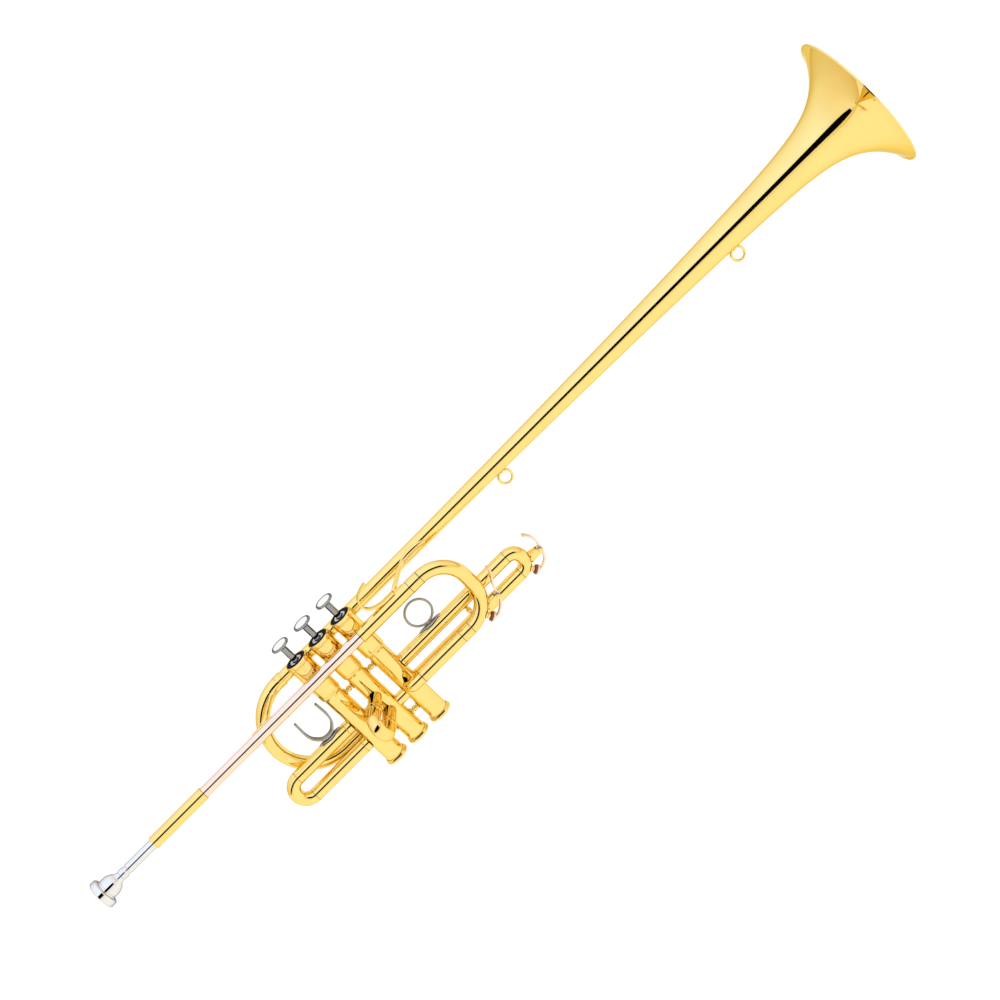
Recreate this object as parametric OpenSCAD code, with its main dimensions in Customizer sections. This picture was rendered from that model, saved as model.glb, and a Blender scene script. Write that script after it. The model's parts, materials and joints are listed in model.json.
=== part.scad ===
// Herald trumpet in B flat: three piston valves, straight bell, pull-out slides.
// Millimetres. +X runs along the bell, +Z up the valves, +Y to the far side (the player's left).
// The origin is on valve 2's axis, at the height of the leadpipe's axis.

/* [Bell] */
// X of the bell rim's front face
bell_end_x = 649; // [600:1:700]
// Outer diameter of the rim bead
rim_d = 136; // [110:1:145]
// Y of the bell tube's axis
bell_y = 17.5; // [15:0.5:22]
// Z of the bell tube's axis
bell_z = 9.9; // [8:0.1:14]
// X where the bell's tail meets the bow
bell_tail_x = -46.6; // [-50:0.1:-42]
// Radius that the taper starts from
bell_throat_r = 4.75; // [4:0.05:6]
// Radius added by the long taper, at the rim
taper_gain = 17.8; // [12:0.1:20]
// Length over which the long taper fades
taper_fade = 240; // [160:1:280]
// Length over which the flare fades
flare_fade = 22.5; // [18:0.1:28]
// Wall thickness of the bell
bell_wall = 0.5; // [0.4:0.05:0.8]
// Length of the flare, from the rim back to its seam with the stem
flare_length = 95; // [60:5:140]
// X of the rear and front banner rings
ring_xs = [209.4, 485];
// Radius of a banner ring's hole
ring_hole_r = 5; // [4:0.1:6]

/* [Tubes] */
// Bore of the cylindrical tubing
bore_d = 10.8; // [10:0.1:11]
// Outer diameter of the inner slide tubes
inner_d = 11.5; // [11.3:0.05:11.6]
// Outer diameter of the main tubing
tube_d = 12.5; // [12.3:0.1:13]
// Y of the leadpipe's axis
lead_y = -17.1; // [-20:0.1:-15]
// X of the mouthpiece receiver's open end
receiver_x = -219.4; // [-230:0.1:-210]
// X where the receiver meets the leadpipe
lead_x0 = -159.3; // [-170:0.5:-150]
// X where the leadpipe meets the upper tuning sleeve
lead_x1 = 27.2; // [20:0.1:34]
// Radius of the bell bow's centreline
bow_r = 42.6; // [42:0.1:43]
// X of the bell bow's centre
bow_x = -52.9; // [-54:0.1:-50]
// Lean of the bell bow towards the leadpipe, in degrees
bow_lean = 3.7; // [3:0.1:4]

/* [Tuning slide] */
// X where the sleeves end and the slide's ferrules begin
tuning_x = 85.9; // [80:0.1:90]
// X where the bow starts to bend
tuning_bend_x = 97.5; // [95:0.1:100]
// Radius of each quarter bend
tuning_r = 28; // [26:0.1:31]
// Z of the lower leg
tuning_low_z = -65.8; // [-67:0.1:-64]
// Longest pull of the tuning slide
tuning_pull = 45; // [20:1:45]

/* [Valves] */
// Distance between valve axes
valve_gap = 26.2; // [26:0.1:28]
// Travel of a valve
stroke = 16.5; // [15:0.1:16.5]
// Outer diameter of the upper barrel
barrel_d = 21.2; // [21:0.1:21.6]
// Outer diameter of the lower casing
casing_d = 18.7; // [18.5:0.1:19]
// Outer diameter of the caps
cap_d = 22.1; // [21.8:0.1:22.4]
// Z of the top of the top cap
cap_top_z = 20; // [19:0.1:22]
// Z of the seam between barrel and casing
seam_z = -22.5; // [-24:0.1:-21]
// Z of the bottom of the bottom cap
base_z = -109.5; // [-111:0.1:-106]
// Z of the top of the finger buttons
button_z = 40.4; // [40:0.1:44]
// Diameter of the finger buttons
button_d = 17.3; // [16:0.1:18]
// Diameter of the pistons
piston_d = 16.9; // [16.85:0.01:16.95]

/* [Valve slides] */
// Z of the first slide's upper and lower tubes
first_zs = [-58.2, -81];
// Z of the second slide's upper and lower tubes
second_zs = [-52.8, -71.1];
// Z of the third slide's upper and lower tubes
third_zs = [-49.5, -70];
// X of the first crook's centre
first_end_x = -99.1; // [-101:0.1:-95]
// X of the third crook's centre
third_end_x = 160.5; // [155:0.1:165]
// Direction of the second slide, in degrees from +X
second_turn = 250; // [248:1:256]
// Distance of the second crook's centre from valve 2
second_reach = 40.5; // [38:0.1:44]

/* [Mouthpiece] */
// Outer diameter of the rim
mouth_rim_d = 26.8; // [24:0.1:28]
// Length of the mouthpiece
mouth_length = 85; // [84:0.1:92]
// Length of shank inside the receiver
mouth_seat = 21.5; // [18:0.1:24]

/* [Hidden] */
$fn = 64;

brass = "goldenrod";
rose = "rosybrown";
silver = "silver";
dark = "dimgray";
nickel = "lightgray";

solder = 0.02;                 // gap left where one soldered piece lies on another
slide_fit = 0.06;              // radial clearance of a slide tube in its sleeve
sleeve_bore = inner_d + 2 * slide_fit;
bell_r = tube_d / 2;
rim_wire_r = 1.1;
rim_flat = 0.35;               // depth of the flat on the front of the rim bead
ring_wire_r = 1.3;
valve_xs = [-valve_gap, 0, valve_gap];
casing_r = casing_d / 2;
barrel_r = barrel_d / 2;
cap_r = cap_d / 2;
top_cap_h = 4.5;
casing_top_z = cap_top_z - top_cap_h;
cap_floor = 1.5;
casing_low_z = base_z + cap_floor;
bore_r = piston_d / 2 + 0.05;  // the lower casing's bore
chamber_r = 9.2;               // the upper barrel's bore
port_d = 10;
stem_r = 3;
button_h = 3.2;
pearl_r = 6.9;

// Where the tubes meet each casing: [height, direction in degrees from +X]
bow_low_y = bell_y - 2 * bow_r * sin(bow_lean);
bow_low_z = bell_z - 2 * bow_r * cos(bow_lean);
pass_12_z = -62;
pass_23_z = -73;
ports = [
  [[pass_12_z, 0], [bow_low_z, 90], [first_zs[0], 180], [first_zs[1], 180]],
  [[pass_12_z, 180], [pass_23_z, 0], [second_zs[0], second_turn], [second_zs[1], second_turn]],
  [[pass_23_z, 180], [tuning_low_z, 270], [third_zs[0], 0], [third_zs[1], 0]]
];

// ---------------------------------------------------------------- helpers

// A ring-shaped cross-section.
module annulus(od, id) {
  difference() {
    circle(d = od);
    circle(d = id);
  }
}

// A tube up +Z from the origin.
module pipe(length, od, id) {
  linear_extrude(length) annulus(od, id);
}

// A tube parallel to +X, from x0 to x1.
module pipe_x(x0, x1, y, z, od, id) {
  translate([x0, y, z]) rotate([0, 90, 0]) pipe(x1 - x0, od, id);
}

// A bent tube about +Z, turning from the first angle to the second.
module bend(radius, from, to, od, id) {
  rotate([0, 0, from]) rotate_extrude(angle = to - from) translate([radius, 0]) annulus(od, id);
}

// The same bend stood up in the plane of +X and +Z.
module bend_xz(radius, from, to, od, id) {
  rotate([90, 0, 0]) bend(radius, from, to, od, id);
}

// Everything inside one casing's outer wall, for trimming what meets it.
module casing_space(valve) {
  translate([valve_xs[valve], 0, base_z]) cylinder(r = casing_r + solder, h = -base_z);
}

// A solid rod from the origin along a direction given as [azimuth, elevation].
module aim(turn, rise) {
  rotate([0, 0, turn]) rotate([0, 90 - rise, 0]) children();
}

// A leaf outline, as long as given and as wide as given: two arcs that meet in points.
module leaf(length, width) {
  r = (length * length + width * width) / (4 * width);
  intersection() {
    translate([0, r - width / 2]) circle(r = r, $fn = 96);
    translate([0, width / 2 - r]) circle(r = r, $fn = 96);
  }
}

// A leaf-shaped foot that wraps the near side of a tube parallel to +X, through turn degrees.
module leaf_foot(length, width, tube_r, thick, turn) {
  rotate([turn, 0, 0]) intersection() {
    translate([-length, 0, 0]) rotate([0, 90, 0])
      pipe(2 * length, 2 * (tube_r + thick), 2 * (tube_r + solder));
    rotate([90, 0, 0]) linear_extrude(tube_r + 2 * thick) leaf(length, width);
  }
}

// Points of a smooth curve through the given ones, a few steps to each span.
function blend_point(a, b, c, d, t) =
  0.5 * ((2 * b) + (c - a) * t + (2 * a - 5 * b + 4 * c - d) * t * t
    + (3 * b - a - 3 * c + d) * t * t * t);
function smooth(p, steps = 5) = [
  for (i = [0 : len(p) - 2]) for (s = [0 : steps - (i == len(p) - 2 ? 0 : 1)])
    blend_point(p[max(i - 1, 0)], p[i], p[i + 1], p[min(i + 2, len(p) - 1)], s / steps)
];

// The outline of a strip of even thickness along a curve.
function side(p, i) =
  let (d = p[min(i + 1, len(p) - 1)] - p[max(i - 1, 0)], n = norm(d)) [-d[1] / n, d[0] / n];
module strip(p, thick) {
  last = len(p) - 1;
  polygon(concat(
    [for (i = [0 : last]) p[i] + side(p, i) * thick / 2],
    [for (i = [last : -1 : 0]) p[i] - side(p, i) * thick / 2]
  ));
}

// A coil of round wire up +Z, closed at both ends.
module coil(coil_r, wire_r, height, turns, per_turn = 12, sides = 6) {
  rings = turns * per_turn;
  points = [
    for (i = [0 : rings]) for (k = [0 : sides - 1])
      let (a = 360 * i / per_turn, b = 360 * k / sides, r = coil_r + wire_r * cos(b))
        [r * cos(a), r * sin(a), wire_r + (height - 2 * wire_r) * i / rings + wire_r * sin(b)]
  ];
  skin = [
    for (i = [0 : rings - 1]) for (k = [0 : sides - 1])
      let (n = (k + 1) % sides) for (f = [0, 1]) f == 0
        ? [i * sides + k, i * sides + n, (i + 1) * sides + n]
        : [i * sides + k, (i + 1) * sides + n, (i + 1) * sides + k]
  ];
  ends = [
    for (k = [1 : sides - 2]) for (f = [0, 1]) f == 0
      ? [0, k + 1, k]
      : [rings * sides, rings * sides + k, rings * sides + k + 1]
  ];
  polyhedron(points, concat(skin, ends));
}

// ---------------------------------------------------------------- bell and bow

// Outer radius of the bell at a distance back from its rim.
flare_gain = rim_d / 2 - rim_wire_r - bell_throat_r - taper_gain;
function bell_radius(back) =
  bell_throat_r + taper_gain * exp(-back / taper_fade) + flare_gain * exp(-back / flare_fade);
bell_length = bell_end_x - rim_wire_r - bell_tail_x;
// Stations crowd towards the rim, where the curve is tight.
function stations(n) = [for (i = [0 : n]) bell_length * pow(i / n, 2.6)];

// The bell's wall between two distances back from its rim.
module bell_wall_between(near, far) {
  spots = [near, for (s = stations(36)) if (s > near + 0.5 && s < far - 0.5) s, far];
  last = len(spots) - 1;
  rotate_extrude() polygon(concat(
    [for (s = spots) [bell_radius(s), s]],
    [for (i = [last : -1 : 0]) [bell_radius(spots[i]) - bell_wall, spots[i]]]
  ));
}

module on_bell_axis() {
  translate([bell_end_x - rim_wire_r, bell_y, bell_z]) rotate([0, -90, 0]) children();
}

module bell_stem() {
  color(brass) on_bell_axis() bell_wall_between(flare_length + solder, bell_length);
}

// The flare, rolled over the rim wire, whose front is flattened.
module bell_flare() {
  color(brass) difference() {
    on_bell_axis() union() {
      bell_wall_between(0, flare_length);
      rotate_extrude() translate([rim_d / 2 - rim_wire_r, 0]) circle(r = rim_wire_r);
    }
    translate([bell_end_x - rim_flat, bell_y - rim_d, bell_z - rim_d]) cube([2, 2 * rim_d, 2 * rim_d]);
  }
}

module banner_rings() {
  color(brass) for (x = ring_xs) {
    outer = bell_radius(bell_end_x - rim_wire_r - x);
    drop = outer + ring_hole_r + 1.2;
    difference() {
      translate([x, bell_y, bell_z - drop]) rotate([90, 0, 0]) rotate_extrude() difference() {
        translate([ring_hole_r + 1, 0]) circle(r = ring_wire_r);
        translate([0, -2]) square([ring_hole_r, 4]);
      }
      translate([x - 10, bell_y, bell_z]) rotate([0, 90, 0])
        cylinder(r1 = bell_radius(bell_end_x - rim_wire_r - x + 10) + solder,
                 r2 = bell_radius(bell_end_x - rim_wire_r - x - 10) + 2 * solder, h = 20);
    }
  }
}

module lean() {
  translate([bow_x, bell_y, bell_z]) rotate([-bow_lean, 0, 0]) children();
}

module bell_bow() {
  color(brass) lean() translate([0, 0, -bow_r]) bend_xz(bow_r, 90, 270, tube_d, bore_d);
}

elbow_r = 8;
elbow_d = 11.4;
// The upper ferrule joins the bow to the bell's tail, the lower one to the elbow.
module bow_ferrules() {
  color(brass) {
    pipe_x(bow_x + solder, bell_tail_x - 2 - solder, bell_y, bell_z, tube_d, bore_d);
    pipe_x(bell_tail_x - 2, bell_tail_x - solder, bell_y, bell_z, tube_d + 0.5, bore_d);
    difference() {
      pipe_x(bow_x + solder, -37.4, bow_low_y, bow_low_z, tube_d + 0.4, elbow_d + 2 * solder);
      casing_space(0);
    }
  }
}

module bell_elbow() {
  color(brass) difference() {
    union() {
      pipe_x(bow_x + 2, -valve_gap - elbow_r, bow_low_y, bow_low_z, elbow_d, bore_d - 0.4);
      translate([-valve_gap - elbow_r, bow_low_y - elbow_r, bow_low_z])
        bend(elbow_r, 0, 90, elbow_d, bore_d - 0.4);
    }
    casing_space(0);
  }
}

// ---------------------------------------------------------------- leadpipe side

module mouthpiece_receiver() {
  color(brass) translate([receiver_x, lead_y, 0]) rotate([0, 90, 0]) difference() {
    length = lead_x0 - receiver_x;
    union() {
      cylinder(d1 = 10.8, d2 = 11.8, h = 0.6);
      translate([0, 0, 0.6]) cylinder(d = 11.8, h = length - 1.2);
      translate([0, 0, length - 0.6]) cylinder(d1 = 11.8, d2 = 10.8, h = 0.6);
    }
    translate([0, 0, -0.01]) cylinder(d1 = shank_d(0) + 0.12, d2 = shank_d(mouth_seat) + 0.12,
                                      h = mouth_seat + 1);
    cylinder(d = 8.2, h = length + 1);
    translate([0, 0, length - 8]) cylinder(d = 10.2 + 2 * solder, h = 9);
  }
}

lead_seat = 6;                 // depth of the leadpipe in the upper sleeve
module leadpipe() {
  color(rose) translate([lead_x0 - 8 + solder, lead_y, 0]) rotate([0, 90, 0]) difference() {
    length = lead_x1 + lead_seat - lead_x0 + 8 - solder;
    union() {
      cylinder(d = 10.2, h = 8 + solder);
      translate([0, 0, 8]) cylinder(d1 = 10.2, d2 = 11, h = length - 8);
    }
    translate([0, 0, -1]) cylinder(d1 = 8.2, d2 = 10, h = length + 2);
  }
}

module upper_tuning_sleeve() {
  color(brass) {
    pipe_x(lead_x1 + lead_seat, tuning_x, lead_y, 0, tube_d + 0.2, sleeve_bore);
    pipe_x(lead_x1, lead_x1 + lead_seat, lead_y, 0, tube_d + 0.2, 11 + 2 * solder);
  }
}

tuning_elbow_r = 9.5;
tuning_elbow_x = valve_gap + tuning_elbow_r;
module lower_tuning_sleeve() {
  color(brass) {
    pipe_x(38.6, tuning_x + 1, lead_y, tuning_low_z, tube_d + 0.2, sleeve_bore);
    difference() {
      union() {
        pipe_x(tuning_elbow_x, 38.6 - solder, lead_y, tuning_low_z, 11.6, bore_d);
        translate([tuning_elbow_x, lead_y + tuning_elbow_r, tuning_low_z])
          bend(tuning_elbow_r, 180, 270, 11.6, bore_d);
      }
      casing_space(2);
    }
  }
}

// ---------------------------------------------------------------- valves

module valve_casing(valve) {
  color(brass) translate([valve_xs[valve], 0, 0]) difference() {
    union() {
      translate([0, 0, seam_z]) cylinder(r = barrel_r, h = casing_top_z - seam_z);
      translate([0, 0, seam_z - 3]) cylinder(r1 = casing_r, r2 = barrel_r, h = 3);
      translate([0, 0, casing_low_z]) cylinder(r = casing_r, h = seam_z - casing_low_z);
    }
    translate([0, 0, casing_low_z - 1]) cylinder(r = bore_r, h = seam_z - casing_low_z + 2);
    translate([0, 0, seam_z]) cylinder(r = chamber_r, h = casing_top_z - seam_z + 1);
    for (p = ports[valve]) translate([0, 0, p[0]]) aim(p[1], 0) cylinder(d = port_d, h = 12);
  }
}

module top_caps() {
  color(brass) for (x = valve_xs) translate([x, 0, casing_top_z]) difference() {
    union() {
      translate([0, 0, solder]) cylinder(r = cap_r, h = top_cap_h - solder);
      translate([0, 0, -5]) cylinder(r = chamber_r - 0.1, h = 5.5);
    }
    translate([0, 0, -6]) cylinder(r = 8.65, h = 6);
    cylinder(r = stem_r + 0.3, h = 20, center = true);
    translate([0, 0, top_cap_h - 1]) difference() {
      cylinder(r = 10.1, h = 2);
      cylinder(r = 6, h = 2);
    }
  }
}

module bottom_caps() {
  color(brass) for (x = valve_xs) translate([x, 0, base_z]) difference() {
    union() {
      cylinder(r1 = cap_r - 0.9, r2 = cap_r, h = 0.9);
      translate([0, 0, 0.9]) cylinder(r = cap_r, h = 1.2);
      translate([0, 0, 2.1]) cylinder(r1 = cap_r, r2 = casing_r + 0.9, h = 2.4);
    }
    translate([0, 0, cap_floor]) cylinder(r = casing_r + solder, h = 10);
    cylinder(r = 1.5, h = 10, center = true);
  }
}

module valve_felts() {
  color(dark) for (x = valve_xs) translate([x, 0, 0]) {
    translate([0, 0, cap_top_z - 1 + solder]) pipe(1.4, 20, 12.2);
    translate([0, 0, casing_top_z - 3.2]) pipe(3.2 - solder, 16.4, 6.8);
  }
}

guide_h = 3;
module valve_guides() {
  color("ivory") for (x = valve_xs) translate([x, 0, seam_z + solder]) {
    cylinder(r = 7.1, h = guide_h);
    translate([-1.5, -9.1, 0]) cube([3, 18.2, guide_h]);
  }
}

piston_low_z = -88.5;
piston_top_z = seam_z - 2;
barrel_top_z = 12;
// The body with its rest passage, the shallow mouths of its pressed passages, and the spring barrel.
module piston(valve) {
  way = ports[valve];
  color(nickel) translate([valve_xs[valve], 0, 0]) {
    difference() {
      union() {
        translate([0, 0, piston_low_z]) cylinder(d = piston_d, h = piston_top_z - piston_low_z);
        translate([0, 0, piston_top_z]) cylinder(r = 8.3, h = barrel_top_z - piston_top_z);
      }
      translate([0, 0, piston_top_z]) cylinder(r = 7.25, h = barrel_top_z - piston_top_z - 2);
      translate([-1.6, -12, seam_z - 0.3]) cube([3.2, 24, stroke + guide_h + 0.8]);
      translate([0, 0, barrel_top_z - 3]) cylinder(r = 2.2, h = 4);
      translate([0, 0, piston_low_z - 1]) cylinder(r = 1.5, h = 5);
      rest_passage(way[0], way[1]);
      for (p = way) translate([0, 0, p[0] + stroke]) aim(p[1], 0)
        translate([0, 0, 5.5]) cylinder(d = port_d - 1, h = 8);
    }
  }
}

// A way through the piston from one port to another at its own height.
module rest_passage(a, b) {
  low = min(a[0], b[0]);
  translate([0, 0, low]) cylinder(d = port_d - 2, h = abs(a[0] - b[0]));
  for (p = [a, b]) translate([0, 0, p[0]]) {
    aim(p[1], 0) cylinder(d = port_d - 2, h = 10);
    sphere(d = port_d - 2);
  }
}

module stem(valve) {
  color(nickel) translate([valve_xs[valve], 0, 0]) {
    translate([0, 0, barrel_top_z + solder]) cylinder(r = stem_r, h = button_z - button_h - barrel_top_z - 2 * solder);
    translate([0, 0, barrel_top_z - 2.5]) cylinder(r = 2.2 - solder, h = 3);
  }
}

module finger_button(valve) {
  color(nickel) translate([valve_xs[valve], 0, button_z - button_h]) difference() {
    union() {
      cylinder(r1 = button_d / 2 - 3, r2 = button_d / 2, h = 1.4);
      translate([0, 0, 1.4]) cylinder(d = button_d, h = button_h - 1.9);
      translate([0, 0, button_h - 0.5]) cylinder(r1 = button_d / 2, r2 = button_d / 2 - 0.5, h = 0.5);
    }
    translate([0, 0, button_h - 1]) cylinder(r = pearl_r, h = 2);
  }
}

module pearl(valve) {
  color("white") translate([valve_xs[valve], 0, button_z - 1 + solder])
    cylinder(r = pearl_r - solder, h = 0.9);
}

module valve_spring(valve) {
  foot = seam_z + guide_h + 3 * solder;
  color(nickel) translate([valve_xs[valve], 0, foot])
    coil(6.2, 0.45, barrel_top_z - 2 - foot - solder, 8);
}

// A turned spacer that ties two casings together, with a bead at its middle.
module spacer(x, z) {
  half = valve_gap / 2 - casing_r + 1;
  translate([x, 0, z]) rotate([0, 90, 0]) {
    cylinder(r = 1.7, h = 2 * half, center = true);
    sphere(r = 2.7);
    for (s = [-1, 1]) translate([0, 0, s * (half - 1.2)]) cylinder(r = 3.3, h = 1.2, center = true);
  }
}

module casing_braces() {
  color(brass) difference() {
    for (x = [-valve_gap / 2, valve_gap / 2]) for (z = [-33, -89]) spacer(x, z);
    for (v = [0 : 2]) casing_space(v);
  }
}

module passage_tubes() {
  color(brass) difference() {
    union() {
      pipe_x(-valve_gap, 0, 0, pass_12_z, 11, port_d);
      pipe_x(0, valve_gap, 0, pass_23_z, 11, port_d);
    }
    for (v = [0 : 2]) casing_space(v);
    for (z = second_zs) translate([0, 0, z]) aim(second_turn, 0)
      cylinder(d = tube_d + 0.1, h = 20);
  }
}

// ---------------------------------------------------------------- braces and hook

brace_rod_r = 2.1;
// A rod between two points.
module rod_between(a, b, r) {
  d = b - a;
  translate(a) rotate([0, 0, atan2(d[1], d[0])]) rotate([0, acos(d[2] / norm(d)), 0])
    cylinder(r = r, h = norm(d));
}

module front_brace() {
  foot_x = 108;
  tube_r = bell_radius(bell_end_x - rim_wire_r - foot_x - 18);
  color(brass) {
    difference() {
      rod_between([74, lead_y + 3, 3], [96, bell_y - 4, bell_z], brace_rod_r);
      translate([60, bell_y, bell_z]) rotate([0, 90, 0]) cylinder(r = tube_r + 1.1, h = 60);
      translate([60, lead_y, 0]) rotate([0, 90, 0]) cylinder(r = tube_d / 2 + 1.3, h = 26.5);
    }
    translate([foot_x, bell_y, bell_z]) leaf_foot(34, 10, tube_r, 1.1, 0);
    translate([76, lead_y, 0]) leaf_foot(16, 10, tube_d / 2 + 0.1, 1.2, 205);
  }
}

module rear_brace() {
  foot_x = -84;
  color(brass) {
    difference() {
      rod_between([-82, lead_y + 3, 3], [-58, bell_y - 4, bell_z - 1], brace_rod_r);
      lean() translate([0, 0, -bow_r]) bend_xz(bow_r, 60, 120, tube_d + 2, 2);
      translate([-100, lead_y, 0]) rotate([0, 90, 0]) cylinder(r = 5.3 + 1.2, h = 60);
    }
    intersection() {
      lean() translate([0, 0, -bow_r]) bend_xz(bow_r, 75, 125, tube_d + 2, tube_d + 2 * solder);
      translate([-59, bell_y + 1, bell_z - 1]) rotate([90, 0, 0]) linear_extrude(12)
        rotate([0, 0, 12]) leaf(20, 11);
    }
    translate([foot_x, lead_y, 0]) leaf_foot(26, 9, 5.42, 1.1, 205);
  }
}

hook_width = 7;
hook_thick = 1.5;
// The hook's curve in X and in height above the sleeve's top.
hook_line = [
  [73, 0.76], [66, 0.76], [60.5, 0.95], [53.5, 2.7], [48.2, 6.4], [46.1, 12],
  [47.3, 17.4], [51.6, 21.4], [57, 23.7], [62, 25]
];
// The little-finger hook: a strip that lies on the sleeve and curls up and forward.
module finger_hook() {
  color(brass) translate([0, lead_y + hook_width / 2, tube_d / 2 + 0.1 + solder])
    rotate([90, 0, 0]) linear_extrude(hook_width) strip(smooth(hook_line), hook_thick);
}

// ---------------------------------------------------------------- first slide

collar_d = 13.1;
// The fixed tubes that the first and third slides run on, each with a collar at its casing.
module slide_inner_tubes() {
  color(brass) {
    difference() {
      for (z = first_zs) {
        pipe_x(first_end_x + 3, -30, 0, z, inner_d, bore_d);
        pipe_x(-39.8, -30, 0, z, collar_d, inner_d);
      }
      casing_space(0);
    }
    difference() {
      for (z = third_zs) {
        pipe_x(30, third_end_x - 8, 0, z, inner_d, bore_d);
        pipe_x(30, third_open_x - 0.2, 0, z, collar_d, inner_d);
      }
      casing_space(2);
    }
  }
}

first_open_x = -40.1;
module first_slide_sleeves() {
  color(brass) for (z = first_zs) {
    pipe_x(first_end_x + solder, first_open_x, 0, z, tube_d, sleeve_bore);
    pipe_x(first_open_x - 2, first_open_x, 0, z, tube_d + 0.5, tube_d);
  }
}

module first_slide_crook() {
  color(brass) translate([first_end_x, 0, (first_zs[0] + first_zs[1]) / 2])
    bend_xz((first_zs[0] - first_zs[1]) / 2, 90, 270, tube_d - 0.1, bore_d);
}

saddle_x = -54.6;
saddle_bottom_z = -51;
saddle_thick = 2;
saddle_width = 7;
// The middle of the strip, measured from the saddle's lowest point
saddle_half = [[12.2, 29.7], [12.6, 22], [12.6, 15.5], [11.3, 9.2], [8, 4.6], [4.4, 1.7], [0, 1]];
saddle_line = concat(
  [for (i = [0 : len(saddle_half) - 1]) [-saddle_half[i][0], saddle_half[i][1]]],
  [for (i = [len(saddle_half) - 2 : -1 : 0]) saddle_half[i]]
);
module thumb_saddle() {
  color(nickel) translate([saddle_x, 0, 0]) {
    translate([0, saddle_width / 2, saddle_bottom_z]) rotate([90, 0, 0])
      linear_extrude(saddle_width) strip(smooth(saddle_line), saddle_thick);
    translate([0, 0, first_zs[0]]) leaf_foot(25, 10, tube_d / 2, 1.1, 270);
  }
}

// ---------------------------------------------------------------- second slide

second_mid_z = (second_zs[0] + second_zs[1]) / 2;
sleeve_end = 27;
module second_slide_sleeves() {
  color(brass) difference() {
    for (z = second_zs) translate([0, 0, z]) aim(second_turn, 0) {
      translate([0, 0, 4]) pipe(sleeve_end - 4, tube_d, sleeve_bore);
      translate([0, 0, sleeve_end - 2]) pipe(2, tube_d + 0.7, tube_d);
    }
    casing_space(1);
  }
}

module second_slide_legs() {
  color(brass) for (z = second_zs) translate([0, 0, z]) aim(second_turn, 0) {
    translate([0, 0, 11]) pipe(second_reach - 6 - 11, inner_d, bore_d);
    translate([0, 0, sleeve_end + 0.2]) pipe(4.5, tube_d + 0.5, inner_d);
  }
}

module second_slide_crook() {
  leg = second_reach - sleeve_end - 4.72;
  color(brass) rotate([0, 0, second_turn]) {
    translate([second_reach, 0, second_mid_z])
      bend_xz((second_zs[0] - second_zs[1]) / 2, -90, 90, tube_d - 0.2, bore_d);
    for (z = second_zs) difference() {
      pipe_x(second_reach - leg, second_reach, 0, z, tube_d - 0.2, bore_d);
      pipe_x(second_reach - leg - 1, second_reach - 6 + solder, 0, z, inner_d + solder, bore_d - 1);
    }
  }
}

// ---------------------------------------------------------------- third slide

third_open_x = 37.6;
third_sleeve_d = 12.4;
module third_slide_sleeves() {
  color(brass) for (z = third_zs) {
    pipe_x(third_open_x, third_end_x - solder, 0, z, third_sleeve_d, sleeve_bore);
    pipe_x(third_open_x + 10.6, third_open_x + 12, 0, z, third_sleeve_d + 0.5, third_sleeve_d);
  }
}

// A drain nipple at an angle on a bend, about the bend's centre.
module nipple(radius, tube_r, turn, top) {
  rotate([0, -turn, 0]) translate([radius + tube_r - 1, 0, 0]) rotate([0, 90, 0])
    cylinder(r = 3, h = top - radius - tube_r + 1);
}
module nipple_hole(radius, turn) {
  rotate([0, -turn, 0]) translate([radius, 0, 0]) rotate([0, 90, 0]) cylinder(r = 1.3, h = 30);
}

third_r = (third_zs[0] - third_zs[1]) / 2;
third_mid_z = (third_zs[0] + third_zs[1]) / 2;
third_nipple_turn = -57.8;
third_nipple_top = 19.5;
module third_slide_crook() {
  color(brass) translate([third_end_x, 0, third_mid_z]) difference() {
    union() {
      bend_xz(third_r, -90, 90, third_sleeve_d, bore_d);
      difference() {
        nipple(third_r, third_sleeve_d / 2, third_nipple_turn, third_nipple_top);
        bend_xz(third_r, -90, 90, third_sleeve_d - 0.4, 0.5);
      }
    }
    nipple_hole(third_r, third_nipple_turn);
  }
}

finger_ring_x = 74.7;
finger_ring_z = -28.9;
finger_ring_r = 12.2;
finger_wire_r = 1.1;
module finger_ring() {
  top = third_zs[0] + third_sleeve_d / 2;
  color(nickel) translate([finger_ring_x, 0, 0]) {
    translate([0, 0, finger_ring_z]) rotate([90, 0, 0]) rotate_extrude()
      translate([finger_ring_r, 0]) circle(r = finger_wire_r);
    difference() {
      union() {
        translate([0, 0, third_zs[0]]) leaf_foot(25, 9, third_sleeve_d / 2, 1, 270);
        translate([0, 0, top + 0.5]) cylinder(r1 = 3.4, r2 = 1.8, h = 2.4);
      }
      translate([0, 0, finger_ring_z]) rotate([90, 0, 0])
        cylinder(r = finger_ring_r + 0.5, h = 20, center = true);
      translate([-20, 0, third_zs[0]]) rotate([0, 90, 0]) cylinder(d = third_sleeve_d + 2 * solder, h = 40);
    }
  }
}

stop_x = 106.4;
// A short post between the third slide's tubes, with a knob at its middle.
module third_slide_stop() {
  color(brass) translate([stop_x, 0, third_mid_z]) difference() {
    union() {
      cylinder(r = 1.5, h = 2 * third_r, center = true);
      sphere(r = 2.4);
      translate([0, 0, -4.6]) cylinder(r = 3.8, h = 1.4, center = true);
    }
    for (s = [-1, 1]) translate([-10, 0, s * third_r]) rotate([0, 90, 0])
      cylinder(d = third_sleeve_d + 2 * solder, h = 20);
  }
}

// ---------------------------------------------------------------- water keys

pin_r = 1;
key_barrel_r = 2.1;
key_half = 3.8;
ear_thick = 1.1;
cork_r = 4.2;
cork_h = 3;

function polar(r, turn) = [r * cos(turn), r * sin(turn)];

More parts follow.
